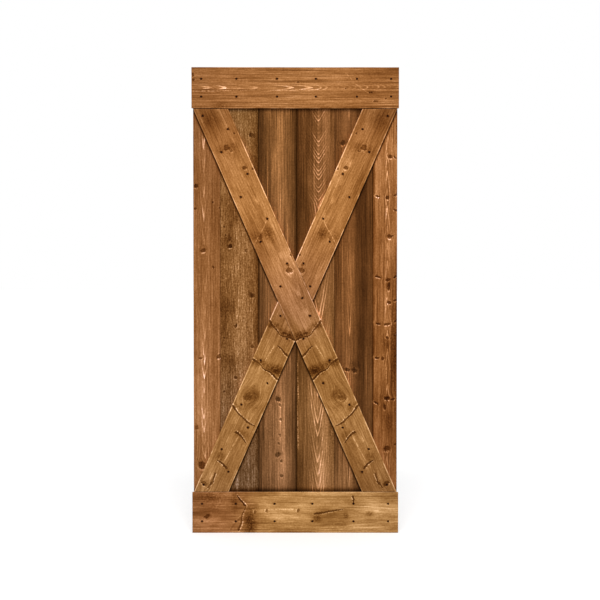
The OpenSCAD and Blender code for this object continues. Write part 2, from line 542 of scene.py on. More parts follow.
class Wiring:
    """Adds shader nodes to a tree and links them."""

    def __init__(self, tree: bpy.types.NodeTree) -> None:
        """Takes the tree that the nodes go in."""
        self.tree = tree

    def node(self, kind: str, **settings: object) -> bpy.types.Node:
        """Adds a node.

        Args:
            kind: The node's type.
            **settings: Its properties.

        Returns:
            The node.
        """
        made = self.tree.nodes.new(kind)
        for name, value in settings.items():
            setattr(made, name, value)
        return made

    def feed(self, socket: Socket, value: object) -> None:
        """Gives an input its value.

        Args:
            socket: The input.
            value: A socket to link it to, or a plain value.
        """
        if isinstance(value, Socket):
            self.tree.links.new(value, socket)
        else:
            socket.default_value = value

    def fill(self, node: bpy.types.Node, values: Iterable[object]) -> Socket:
        """Feeds a node's inputs in order.

        Args:
            node: The node.
            values: A socket or a plain value for each input.

        Returns:
            The node's first output.
        """
        for socket, value in zip(node.inputs, values):
            self.feed(socket, value)
        return node.outputs[0]

    def math(self, operation: str, *values: object, clamp: bool = False) -> Socket:
        """Adds a sum of numbers."""
        return self.fill(self.node("ShaderNodeMath", operation=operation, use_clamp=clamp), values)

    def times(self, one: object, other: object) -> Socket:
        """One number times another."""
        return self.fill(self.node("ShaderNodeMath", operation="MULTIPLY"), (one, other))

    def plus(self, one: object, other: object) -> Socket:
        """One number plus another."""
        return self.fill(self.node("ShaderNodeMath", operation="ADD"), (one, other))

    def scaled(self, value: object, by: object, more: object) -> Socket:
        """A number times another, plus a third."""
        return self.fill(self.node("ShaderNodeMath", operation="MULTIPLY_ADD"), (value, by, more))

    def vector(self, operation: str, *values: object) -> Socket:
        """Adds a sum of vectors that gives a vector."""
        return self.fill(self.node("ShaderNodeVectorMath", operation=operation), values)

    def length(self, value: Socket) -> Socket:
        """The length of a vector.

        Args:
            value: The vector.

        Returns:
            Its length.
        """
        made = self.node("ShaderNodeVectorMath", operation="LENGTH")
        self.feed(made.inputs[0], value)
        return made.outputs["Value"]

    def parts(self, value: Socket) -> tuple[Socket, Socket, Socket]:
        """Splits a vector.

        Args:
            value: The vector.

        Returns:
            Its X, Y and Z.
        """
        made = self.node("ShaderNodeSeparateXYZ")
        self.feed(made.inputs[0], value)
        return made.outputs[0], made.outputs[1], made.outputs[2]

    def join(self, x: object, y: object, z: object) -> Socket:
        """A vector from its X, Y and Z."""
        return self.fill(self.node("ShaderNodeCombineXYZ"), (x, y, z))

    def attribute(self, name: str, output: str) -> Socket:
        """A value written on the mesh."""
        return self.node("ShaderNodeAttribute", attribute_name=name).outputs[output]

    def bell(self, value: object, middle: float, width: object) -> Socket:
        """1 where a value is at the middle, falling off smoothly over the width."""
        away = self.math("DIVIDE", self.math("SUBTRACT", value, middle), width)
        return self.math("EXPONENT", self.times(self.times(away, away), -1.0))

    def span(self, value: object, low: float, high: float, smooth: bool = True) -> Socket:
        """A value's way from one limit to another.

        Args:
            value: The value.
            low: Where the result is 0.
            high: Where the result is 1, which may be below low.
            smooth: Whether it eases in and out.

        Returns:
            A number from 0 to 1.
        """
        kind = "SMOOTHSTEP" if smooth else "LINEAR"
        made = self.node("ShaderNodeMapRange", interpolation_type=kind)
        return self.fill(made, (value, low, high))

    def grain_noise(self, place: Socket, scale: Scale, detail: float = 2.0) -> Socket:
        """Noise stretched by a scale for each axis.

        Args:
            place: The point.
            scale: How fast it varies along each axis.
            detail: How many finer layers it has.

        Returns:
            A number from about 0.2 to 0.8.
        """
        made = self.node("ShaderNodeTexNoise")
        self.feed(made.inputs["Vector"], self.vector("MULTIPLY", place, scale))
        made.inputs["Scale"].default_value = 1.0
        made.inputs["Detail"].default_value = detail
        return made.outputs["Fac"]

    def centred_noise(self, place: Socket, scale: Scale, detail: float = 2.0) -> Socket:
        """The same noise, from about -0.3 to 0.3."""
        return self.math("SUBTRACT", self.grain_noise(place, scale, detail), 0.5)

    def ramp(self, value: Socket, stops: Sequence[tuple[float, Colour]]) -> Socket:
        """A colour that changes smoothly with a value.

        Args:
            value: The value, from 0 to 1.
            stops: Places on the way from 0 to 1, each with its colour.

        Returns:
            The colour.
        """
        made = self.node("ShaderNodeValToRGB")
        ramp = made.color_ramp
        ramp.interpolation = "B_SPLINE"
        for i, (at, colour) in enumerate(stops):
            stop = ramp.elements[i] if i < 2 else ramp.elements.new(at)
            stop.position = at
            stop.color = (*colour, 1.0)
        self.feed(made.inputs[0], value)
        return made.outputs["Color"]

    def mix(self, amount: object, under: object, over: object, blend: str = "MIX") -> Socket:
        """One colour laid over another.

        Args:
            amount: How much of the upper colour shows.
            under: The lower colour.
            over: The upper colour.
            blend: How the two combine.

        Returns:
            The mixed colour.
        """
        made = self.node("ShaderNodeMix", data_type="RGBA", blend_type=blend)
        for i, value in ((0, amount), (6, under), (7, over)):
            if i and isinstance(value, tuple):
                value = (*value, 1.0)
            self.feed(made.inputs[i], value)
        return made.outputs[2]


def new_material(name: str) -> tuple[bpy.types.Material, Wiring, bpy.types.Node]:
    """Makes a material.

    Args:
        name: Its name.

    Returns:
        The material, the wiring of its nodes, and its shader.
    """
    made = bpy.data.materials.new(name)
    made.use_nodes = True
    return made, Wiring(made.node_tree), made.node_tree.nodes["Principled BSDF"]


class KnotGroup:
    """The node group that turns one layer of a knot map into dark and pale marks."""

    NAME = "knot_marks"

    # How far the wood's wobble moves a knot's rim and mottles the stain round it
    RAGGED = 3.2
    MOTTLED = (3.2, 0.7)

    # How a spike differs from a knot: its blunt ends, solid heart and thick pale line
    BLUNT = (3.0, 1.0)
    SOLID = (0.15, 0.4)
    THICK = (0.35, 0.42)

    # Rings and limits, in sizes of the knot from its middle
    HEART = (1.1, 0.8)
    BARK = (0.85, 0.3)
    PITH = (0.1, 0.22)
    PALE_RIM = (1.75, 0.4)
    SOAK = (0.0, 1.8)
    SOAK_SAGS = (0.6, 1.8)
    PALE_LINE = -1.5
    PALE_LINE_ENDS = (1.3, 0.7)
    FADE = (3.0, 2.4)

    # Where the wobble breaks the pale line and the pale rim
    LINE_BREAKS = (-0.12, 0.05)
    RIM_BREAKS = (-0.08, 0.04)
    RIM_STRENGTH = 0.7

    INPUTS = {
        "Spot": "Vector",
        "Core": "Float",
        "Halo": "Float",
        "Glint": "Float",
        "Wobble": "Float",
        "Dark": "Float",
        "Pale": "Float",
    }
    OUTPUTS = {"Dark": "Float", "Pale": "Float"}

    def tree(self) -> bpy.types.NodeTree:
        """The group's tree, made once."""
        return bpy.data.node_groups.get(self.NAME) or self.build()

    def build(self) -> bpy.types.NodeTree:
        """Makes the group's nodes.

        Returns:
            The tree, whose inputs and outputs are those listed above.
        """
        tree = bpy.data.node_groups.new(self.NAME, "ShaderNodeTree")
        for way, sockets in (("INPUT", self.INPUTS), ("OUTPUT", self.OUTPUTS)):
            for name, kind in sockets.items():
                tree.interface.new_socket(name, in_out=way, socket_type="NodeSocket" + kind)
        w = Wiring(tree)
        given = w.node("NodeGroupInput").outputs
        side, long, end = w.parts(given["Spot"])
        size = w.math("ABSOLUTE", side)
        squared = w.math("POWER", size, w.scaled(long, *self.BLUNT))
        distance = w.length(w.join(squared, end, 0.0))
        rough = w.scaled(given["Wobble"], self.RAGGED, distance)

        solid = w.scaled(long, *self.SOLID)
        heart = w.times(w.span(rough, *self.HEART), solid)
        bark = w.bell(rough, *self.BARK)
        pith = w.bell(rough, *self.PITH)
        body = w.math("MAXIMUM", w.math("MAXIMUM", heart, bark), pith)
        core = w.times(body, given["Core"])
        patchy = w.scaled(given["Wobble"], *self.MOTTLED)
        soak = w.times(w.bell(distance, *self.SOAK), w.bell(end, *self.SOAK_SAGS))
        halo = w.math("MULTIPLY", w.times(soak, patchy), given["Halo"], clamp=True)
        dark = w.math("MAXIMUM", core, halo)
        thick = w.scaled(long, *self.THICK)
        below = w.bell(end, self.PALE_LINE, thick)
        below = w.times(below, w.span(size, *self.PALE_LINE_ENDS))
        broken = w.span(given["Wobble"], *self.LINE_BREAKS)
        line = w.times(below, broken)
        rim = w.bell(rough, *self.PALE_RIM)
        rim = w.times(rim, w.span(given["Wobble"], *self.RIM_BREAKS))
        fade = w.span(distance, *self.FADE)
        out = w.node("NodeGroupOutput").inputs
        shown = w.times(dark, fade)
        w.feed(out["Dark"], w.math("MAXIMUM", given["Dark"], shown))
        ringed = w.times(w.times(rim, given["Core"]), self.RIM_STRENGTH)
        glint = w.scaled(line, given["Glint"], ringed)
        glint = w.times(glint, fade)
        w.feed(out["Pale"], w.math("MAXIMUM", given["Pale"], glint))
        return tree


@dataclass(frozen=True)
class PineFinish:
    """Stained knotty pine, with the figure, knots and tones of one board."""

    name: str
    slot: str
    stain: Stain
    figure: Figure
    knots: tuple[Knot, ...]
    seed: float

    # Strength of the marks, on a scale of natural logarithms
    BRIGHTEST = 0.95
    LINES = 1.1
    PALE = 0.9
    DARK = -1.8
    # Painted shade in the corners by the rails and braces
    PAINTED_CORNER_SHADE = -1.7
    # Painted shade in and round the screw holes
    SCREW_HOLE_SHADE = -1.3

    HAIR_DARK = -0.45
    HAIR_PALE = 0.3
    END_GRAIN = -0.45
    END_RINGS = -0.35

    # How far the log's heart drifts across the board, and how ragged its rings are
    HEART_DRIFT = 0.02
    RAGGED_RINGS = 0.35

    # The part of a ring that is pale, and how the rings differ from each other
    RING_PALES = (0.5, 0.8)
    RING_ENDS = (1.0, 0.92)
    RING_DIFFERS = (1.1, 0.15)
    PATCHY_RINGS = (0.35, 0.65)

    # Where the painted corner shade, the pale edges of wear and painted highlight, hairs and end
    # grain begin and are full
    FRONT = (0.009, 0.004)
    PATCHY_PALE_EDGE = (0.3, 0.6)
    DARK_HAIRS = (0.56, 0.68)
    PALE_HAIRS = (0.42, 0.32)
    END_FACING = (0.45, 0.8)
    PALE_EDGE_IN = 0.0055
    PALE_EDGE_WIDTH = 0.002

    # How far clouds shift the tones along the board, and bends across it
    TONES_ALONG = 0.1
    TONES_ACROSS = 0.12

    # The gloss, and the relief of lines, fibres and knots
    MATT = 0.5
    MATT_FIBRE = 0.22
    GLOSSY_LINES = -0.1
    SPECULAR = 0.03
    RAISED_LINES = 0.5
    RAISED_FIBRE = 0.6
    SUNK_KNOTS = -0.5
    RELIEF = 0.5
    RELIEF_DEPTH = 0.0012

    # How fast each noise varies across, through and along the board
    WOBBLE = (140.0, 60.0, 120.0)
    FIBRE = (900.0, 900.0, 14.0)
    DRIFT = (1.0, 1.0, 2.3)
    WANDER = (7.0, 7.0, 1.7)
    RAGGED = (220.0, 220.0, 18.0)
    PATCHES = (30.0, 30.0, 5.0)
    PALE_EDGE_PATCHES = (1.0, 1.0, 22.0)
    CLOUDS = (16.0, 16.0, 5.0)
    BENDS = (9.0, 9.0, 1.4)
    STREAKS = (110.0, 110.0, 2.2)
    FLECKS = (230.0, 230.0, 26.0)
    GRIT = (160.0, 160.0, 120.0)
    HAIRS = (330.0, 330.0, 2.6)

    def material(self, lay: Lay, width: float, length: float) -> bpy.types.Material:
        """Makes the board's material.

        Args:
            lay: Where the board's own axes are.
            width: The board's width.
            length: The length that its tones run over.

        Returns:
            The material, patterned through the whole board.
        """
        made, w, shader = new_material(self.name)
        grain = self._own_axes(w, lay)
        dark, pale = self._knots(w, grain)
        # Pale long edges, partly wear and partly a painted highlight
        wear_and_highlight = self._edge_wear_and_highlight(w, grain, width)
        grain = w.vector("ADD", grain, w.join(w.attribute("parting", "Fac"), 0.0, 0.0))
        lines, arches = self._rings(w, grain)
        marks = w.scaled(lines, self.LINES, w.times(pale, self.PALE))
        marks = w.plus(w.scaled(dark, self.DARK, marks), wear_and_highlight)
        marks = w.plus(marks, self._end_grain(w, lay, arches))
        # Painted shade in the corners by the rails and braces, and in the screw holes
        marks = w.plus(marks, self._painted_shade(w, grain))
        colour = self._colour(w, grain, marks, width, length)
        fibre = w.grain_noise(grain, self.FIBRE)
        w.feed(shader.inputs["Base Color"], colour)
        matt = w.scaled(fibre, self.MATT_FIBRE, self.MATT)
        w.feed(shader.inputs["Roughness"], w.scaled(lines, self.GLOSSY_LINES, matt))
        shader.inputs["Specular IOR Level"].default_value = self.SPECULAR
        self._bump(w, shader, lines, fibre, dark)
        return made

    def _own_axes(self, w: Wiring, lay: Lay) -> Socket:
        """The point on the board, in the board's own axes.

        Args:
            w: The wiring of the material.
            lay: Where the board's own axes are.

        Returns:
            The point.
        """
        mapping = w.node("ShaderNodeMapping", vector_type="TEXTURE")
        w.feed(mapping.inputs["Vector"], w.node("ShaderNodeTexCoord").outputs["Object"])
        mapping.inputs["Location"].default_value = lay.place
        mapping.inputs["Rotation"].default_value = (0.0, lay.turn, 0.0)
        mapping.inputs["Scale"].default_value = (lay.hand, 1.0, 1.0)
        return mapping.outputs[0]

    def _knots(self, w: Wiring, face: Socket) -> tuple[object, object]:
        """Marks the knots, one layer of them at a time.

        Args:
            w: The wiring of the material.
            face: The point on the board.

        Returns:
            How dark the wood is, and how pale.
        """
        wobble = w.centred_noise(face, self.WOBBLE, 4.0)
        dark, pale = 0.0, 0.0
        for i in range(len(KnotMap(self.knots).layers())):
            group = w.node("ShaderNodeGroup", node_tree=KnotGroup().tree())
            core, halo, glint = w.parts(w.attribute(f"marks_{i}", "Vector"))
            given = {
                "Spot": w.attribute(f"spot_{i}", "Vector"),
                "Core": core,
                "Halo": halo,
                "Glint": glint,
                "Wobble": wobble,
                "Dark": dark,
                "Pale": pale,
            }
            for name, value in given.items():
                w.feed(group.inputs[name], value)
            dark, pale = (group.outputs[name] for name in KnotGroup.OUTPUTS)
        return dark, pale

    def _rings(self, w: Wiring, grain: Socket) -> tuple[Socket, Socket]:
        """The growth rings, as the log's own cylinders cut by the board.

        Args:
            w: The wiring of the material.
            grain: The point as the grain sees it.

        Returns:
            The strength of the pale lines, and the bare ring pattern.
        """
        f = self.figure
        across, depth, along = w.parts(grain)
        drift = w.centred_noise(w.join(self.seed, 0.0, along), self.DRIFT, 1.0)
        heart = w.scaled(drift, self.HEART_DRIFT, f.heart_across)
        aside = w.math("SUBTRACT", across, heart)
        behind = w.math("SUBTRACT", depth, f.heart_depth)
        radius = w.length(w.join(aside, behind, 0.0))
        wander = w.grain_noise(w.vector("ADD", grain, (self.seed, 0.0, 0.0)), self.WANDER)
        crowd = w.times(w.span(along, *f.bunch_span, smooth=False), f.bunch)
        grown = w.scaled(along, f.taper, radius)
        grown = w.plus(w.scaled(wander, f.sway, grown), crowd)
        ragged = w.grain_noise(grain, self.RAGGED)
        phase = w.scaled(ragged, self.RAGGED_RINGS, w.math("DIVIDE", grown, f.ring))
        ring = w.math("FRACT", phase)
        late = w.times(w.span(ring, *self.RING_PALES), w.span(ring, *self.RING_ENDS))

        each = w.node("ShaderNodeTexWhiteNoise", noise_dimensions="1D")
        w.feed(each.inputs["W"], w.plus(w.math("FLOOR", phase), self.seed))
        strength = w.scaled(each.outputs["Value"], *self.RING_DIFFERS)
        patches = w.span(w.grain_noise(grain, self.PATCHES), *self.PATCHY_RINGS)
        over_heart = w.times(w.bell(aside, 0.0, f.column), f.bright - f.plain)
        bright = w.plus(over_heart, f.plain)
        shown = w.times(w.times(late, strength), bright)
        shown = w.times(shown, w.scaled(patches, 0.6, 0.4))
        return w.math("MINIMUM", shown, self.BRIGHTEST), late

    def _painted_shade(self, w: Wiring, face: Socket) -> Socket:
        """Paints shade on the front in the corners by the rails and braces, and in and round the
        screw holes.

        Args:
            w: The wiring of the material.
            face: The point on the board.

        Returns:
            How much darker it is, on a scale of natural logarithms.
        """
        on_front = w.span(w.parts(face)[1], *self.FRONT)
        corner_shade = w.bell(w.attribute("corner_shade", "Fac"), 0.0, 1.0)
        screw_hole_shade = w.times(w.attribute("screw_hole_shade", "Fac"), self.SCREW_HOLE_SHADE)
        return w.scaled(w.times(corner_shade, on_front), self.PAINTED_CORNER_SHADE, screw_hole_shade)

    def _edge_wear_and_highlight(self, w: Wiring, face: Socket, width: float) -> Socket:
        """Pales the stain along the long edges, partly as wear and partly as a painted highlight.

        Args:
            w: The wiring of the material.
            face: The point on the board.
            width: The board's width.

        Returns:
            How much paler it is, on a scale of natural logarithms.
        """
        across, _, along = w.parts(face)
        patchy = w.grain_noise(w.join(self.seed, 0.0, along), self.PALE_EDGE_PATCHES)
        patchy = w.span(patchy, *self.PATCHY_PALE_EDGE)
        left, right = self.stain.wear_and_highlight
        edge = width / 2 - self.PALE_EDGE_IN
        on_left = w.times(w.span(across, -edge, -edge - self.PALE_EDGE_WIDTH), left)
        on_right = w.times(w.span(across, edge, edge + self.PALE_EDGE_WIDTH), right)
        return w.times(w.plus(on_left, on_right), patchy)

    def _colour(
        self, w: Wiring, grain: Socket, marks: Socket, width: float, length: float
    ) -> Socket:
        """The stain, whose dark parts are redder and whose pale parts are yellower.

        Args:
            w: The wiring of the material.
            grain: The point as the grain sees it.
            marks: How much paler the marks make it, on a scale of natural logarithms.
            width: The board's width.
            length: The board's length.

        Returns:
            The colour.
        """
        s = self.stain
        shifted = w.vector("ADD", grain, (self.seed, self.seed, self.seed))
        across, _, along = w.parts(grain)
        cloud = w.centred_noise(shifted, self.CLOUDS, 3.0)
        up = w.scaled(along, 1.0 / length, 0.5)
        up = w.scaled(cloud, self.TONES_ALONG, up)
        colour = w.ramp(up, [(at, tone(code)) for at, code in s.along])

        bend = w.centred_noise(shifted, self.BENDS)
        over = w.scaled(across, 1.0 / width, 0.5)
        over = w.scaled(bend, self.TONES_ACROSS, over)
        # Dark edges in the strength across are partly stain and partly painted shade where boards
        # meet
        strength = w.ramp(over, [(at, (x / 2,) * 3) for at, x in s.across])

        noises = (
            (self.STREAKS, 4.0, s.streak),
            (self.FLECKS, 3.0, s.fleck),
            (self.GRIT, 2.0, s.fleck),
        )
        level = w.scaled(cloud, s.cloud, marks)
        for scale, detail, amount in noises:
            level = w.scaled(w.centred_noise(shifted, scale, detail), amount, level)
        hairs = w.grain_noise(shifted, self.HAIRS)
        level = w.scaled(w.span(hairs, *self.DARK_HAIRS), self.HAIR_DARK * s.streak, level)
        level = w.scaled(w.span(hairs, *self.PALE_HAIRS), self.HAIR_PALE * s.streak, level)
        value = w.times(w.math("EXPONENT", level), w.times(strength, 2.0))
        red_green_blue = [
            w.times(w.math("POWER", value, power), tint)
            for power, tint in zip((1.0, *s.drain), AMBER)
        ]
        return w.mix(1.0, colour, w.join(*red_green_blue), "MULTIPLY")

    def _end_grain(self, w: Wiring, lay: Lay, arches: Socket) -> Socket:
        """Darkens the sawn ends, where the wood drinks more stain.

        Args:
            w: The wiring of the material.
            lay: Where the board's own axes are.
            arches: The bare ring pattern.

        Returns:
            How much darker they are, on a scale of natural logarithms.
        """
        turned = w.node("ShaderNodeVectorRotate", rotation_type="Y_AXIS")
        w.feed(turned.inputs["Vector"], w.node("ShaderNodeNewGeometry").outputs["Normal"])
        turned.inputs["Angle"].default_value = -lay.turn
        facing = w.math("ABSOLUTE", w.parts(turned.outputs[0])[2])
        drunk = w.scaled(arches, self.END_RINGS, self.END_GRAIN)
        return w.times(w.span(facing, *self.END_FACING), drunk)

    def _bump(
        self, w: Wiring, shader: bpy.types.Node, lines: Socket, fibre: Socket, dark: object
    ) -> None:
        """Raises the hard lines of the grain and opens the fibres between them.

        Args:
            w: The wiring of the material.
            shader: The wood's shader.
            lines: The strength of the pale lines.
            fibre: The noise of the fibres.
            dark: How dark the knots make the wood.
        """
        raised = w.scaled(lines, self.RAISED_LINES, w.times(fibre, self.RAISED_FIBRE))
        height = w.scaled(dark, self.SUNK_KNOTS, raised)
        bump = w.node("ShaderNodeBump")
        bump.inputs["Strength"].default_value = self.RELIEF
        bump.inputs["Distance"].default_value = self.RELIEF_DEPTH
        w.feed(bump.inputs["Height"], height)
        w.feed(shader.inputs["Normal"], bump.outputs[0])


@dataclass(frozen=True)
class BlackFinish:
    """The baked black coating of the screws, a little rubbed."""

    name: str = "black_screw"

    RUBBED = (900.0, 900.0, 900.0)
    RUBBED_LIMITS = (0.4, 0.75)
    MATT = (0.3, 0.45)
    SPECULAR = 0.05

    def material(self) -> bpy.types.Material:
        """Makes the coating.

        Returns:
            The material.
        """
        made, w, shader = new_material(self.name)
        place = w.node("ShaderNodeTexCoord").outputs["Object"]
        rubbed = w.grain_noise(place, self.RUBBED, 3.0)
        colour = w.mix(w.span(rubbed, *self.RUBBED_LIMITS), tone("1a0503"), tone("2c0d07"))
        w.feed(shader.inputs["Base Color"], colour)
        w.feed(shader.inputs["Roughness"], w.scaled(rubbed, *self.MATT))
        shader.inputs["Specular IOR Level"].default_value = self.SPECULAR
        return made


@dataclass(frozen=True)
class Ends:
    """The two sawn ends of a board, each a straight line across its face.

    Attributes:
        low: Where the low end crosses the board's middle line.
        high: Where the high end crosses it.
        low_rise: How far the low end climbs for each metre across.
        high_rise: How far the high end climbs for each metre across.
    """

    low: float
    high: float
    low_rise: float = 0.0
    high_rise: float = 0.0

    @property
    def length(self) -> float:
        """The length along the board's middle line."""
        return self.high - self.low

    @property
    def span(self) -> float:
        """The length over which the wood's tones run, centred on the board's own place."""
        return 2 * max(-self.low, self.high)

    def stretch(self, across: float, share: float) -> float:
        """Fits a place along the board between its slanted ends.

        Args:
            across: Place across the board.
            share: Share of the length from the low end.

        Returns:
            The place along the board.
        """
        low = self.low + self.low_rise * across
        high = self.high + self.high_rise * across
        return low + share * (high - low)


@dataclass
class Board:
    """One pine board: its mesh, its screw holes and its finish.

    Attributes:
        node: The CAD node that it stands for.
        lay: Where its own axes are.
        width: Width of its face.
        front: Y of its front face.
        back: Y of its back face.
        ends: Its two ends.
        finish: Its wood.
        tongue: Whether its left edge has a tongue.
        groove: Whether its right edge has a groove.
        ease: Radius of its eased edges.
        edge_wear: How far its long edges wander inwards.
        face_wear: How far its faces dip.
        shaded_corners: Corners on its front that get painted shade.
    """

    node: str
    lay: Lay
    width: float
    front: float
    back: float
    ends: Ends
    finish: PineFinish
    tongue: bool = False
    groove: bool = False
    ease: float = 0.0018
    edge_wear: float = 0.0008
    face_wear: float = 0.0003
    shaded_corners: tuple[ShadedCorner, ...] = ()
    piece: bpy.types.Object | None = field(default=None, init=False)

    # How fast the faces dip across, through and along, and the edges wander
    DIPS = (11.0, 20.0, 3.0)
    WANDERS = 6.0
    WANDERS_APART = 5.0
    KNOT_DIP = 0.0005

    def outline(self) -> list[tuple[float, float]]:
        """The board's section.

        Returns:
            Its corners, across and through, anticlockwise as seen from above.
        """
        left, right = -self.width / 2, self.width / 2
        middle = (self.front + self.back) / 2
        points = [(left, self.front), (right, self.front)]
        if self.groove:
            points += [
                (right, middle - GROOVE_HALF),
                (right - GROOVE_DEPTH, middle - GROOVE_HALF),
                (right - GROOVE_DEPTH, middle + GROOVE_HALF),
                (right, middle + GROOVE_HALF),
            ]
        points += [(right, self.back), (left, self.back)]
        if self.tongue:
            points += [
                (left, middle + TONGUE_HALF),
                (left - TONGUE_LENGTH, middle + TONGUE_HALF),
                (left - TONGUE_LENGTH, middle - TONGUE_HALF),
                (left, middle - TONGUE_HALF),
            ]
        return points

    def build(self) -> None:
        """Makes the board's mesh in place, with square uncut faces for the drill."""
        bm = bmesh.new()
        points = [bm.verts.new((x, y, 0.0)) for x, y in self.outline()]
        sides = [bm.edges.new(pair) for pair in zip(points, [*points[1:], points[0]])]
        broad = [e for e in sides if abs(e.verts[0].co.x - e.verts[1].co.x) > self.width / 2]
        cuts = max(1, round(self.width / MESH_CELL))
        bmesh.ops.subdivide_edges(bm, edges=broad, cuts=cuts)
        section = bmesh.ops.edgeloop_fill(bm, edges=bm.edges)["faces"]
        grown = bmesh.ops.extrude_face_region(bm, geom=section)["geom"]
        top = [v for v in grown if isinstance(v, bmesh.types.BMVert)]
        length = self.ends.length
        bmesh.ops.translate(bm, verts=top, vec=(0.0, 0.0, length))
        upright = [e for e in bm.edges if abs(e.verts[0].co.z - e.verts[1].co.z) > length / 2]
        bmesh.ops.subdivide_edges(
            bm, edges=upright, cuts=round(length / MESH_CELL), use_grid_fill=True
        )
        self._ease_edges(bm, length)
        self._wear(bm)
        for v in bm.verts:
            v.co.z = self.ends.stretch(v.co.x, v.co.z / length)
        bmesh.ops.transform(bm, matrix=self.lay.matrix(), verts=bm.verts)
        bmesh.ops.recalc_face_normals(bm, faces=bm.faces)
        self.piece = settle(bm, self.node + "_wood")

    def _ease_edges(self, bm: bmesh.types.BMesh, length: float) -> None:
        """Rounds the edges round the front and back faces, and cuts the V of a joint.

        Args:
            bm: The board, with its low end at Z = 0.
            length: The board's length.
        """
        half = self.width / 2

        def on_face(v: bmesh.types.BMVert) -> bool:
            """Whether a point lies on the front or the back."""
            return min(abs(v.co.y - self.front), abs(v.co.y - self.back)) < TINY

        def on_side(e: bmesh.types.BMEdge, side: float) -> bool:
            """Whether an edge runs along one side of a face."""
            return all(on_face(v) and abs(v.co.x - side * half) < TINY for v in e.verts)

        def on_end(e: bmesh.types.BMEdge) -> bool:
            """Whether an edge runs across the end of a face.

            Args:
                e: The edge.

            Returns:
                True if it does.
            """
            level = abs(e.verts[0].co.z - e.verts[1].co.z) < TINY
            at_end = min(e.verts[0].co.z, abs(e.verts[0].co.z - length)) < TINY
            return level and at_end and all(on_face(v) for v in e.verts)

        for side, jointed in ((-1.0, self.tongue), (1.0, self.groove)):
            edges = [e for e in bm.edges if on_side(e, side)]
            bevel(bm, edges, V_CHAMFER if jointed else self.ease, 1 if jointed else 3)
        bevel(bm, [e for e in bm.edges if on_end(e)], self.ease / 2, 2)

    def _wear(self, bm: bmesh.types.BMesh) -> None:
        """Dips the faces and lets the long edges wander, always inwards.

        Args:
            bm: The board, with its low end at Z = 0.
        """
        half = self.width / 2
        middle = (self.front + self.back) / 2
        seed = self.finish.seed
        for v in bm.verts:
            x, y, z = v.co
            along = self.ends.low + z
            dips = [value * rate for value, rate in zip(v.co, self.DIPS)]
            roll = noise.noise(Vector((dips[0] + seed, dips[1], dips[2]))) * 0.5 + 0.5
            depth = self.face_wear * roll
            for knot in self.finish.knots:
                if abs(along - knot.along) < 4 * max(knot.wide, knot.tall):
                    far = math.hypot(
                        (x - knot.across) / knot.wide, (along - knot.along) / knot.tall
                    )
                    depth += self.KNOT_DIP * knot.core * math.exp(-far * far)
            inward = 1.0 if y < middle else -1.0
            outer = abs(y - middle) > (self.back - self.front) / 4
            if outer:
                v.co.y += inward * depth
            if abs(x) > half - 2 * self.ease and not (self.tongue or self.groove):
                side = seed + math.copysign(self.WANDERS_APART, x)
                wander = noise.noise(Vector((side, 0.0, z * self.WANDERS)))
                v.co.x -= math.copysign(self.edge_wear * (wander * 0.5 + 0.5), x)

    def drill(self, cutter: bpy.types.Object) -> None:
        """Cuts the screw holes.

        Args:
            cutter: A mesh in the shape of all the holes.
        """
        cut = self.piece.modifiers.new("screw_holes", "BOOLEAN")
        cut.operation = "DIFFERENCE"
        cut.solver = "EXACT"
        cut.object = cutter
        seen = self.piece.evaluated_get(bpy.context.evaluated_depsgraph_get())
        solid = self.piece.data
        drilled = bpy.data.meshes.new_from_object(seen)
        self.piece.modifiers.clear()
        self.piece.data = drilled
        bpy.data.meshes.remove(solid)

    def dress(self, screws: Points) -> None:
        """Gives the board its wood and ties it to the frame.

        Args:
            screws: Places of the screws, across the door and up it.
        """
        mesh = self.piece.data
        mesh.materials.clear()
        mesh.materials.append(self.finish.material(self.lay, self.width, self.ends.span))
        KnotMap(self.finish.knots, self.shaded_corners, screws).write(mesh, self.lay)
        mesh.polygons.foreach_set("use_smooth", [True] * len(mesh.polygons))
        mesh.set_sharp_from_angle(angle=SHARP_ANGLE)
        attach(self.piece, "root")
        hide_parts(self.node)
        LOG.info("%s: %d faces", self.piece.name, len(mesh.polygons))


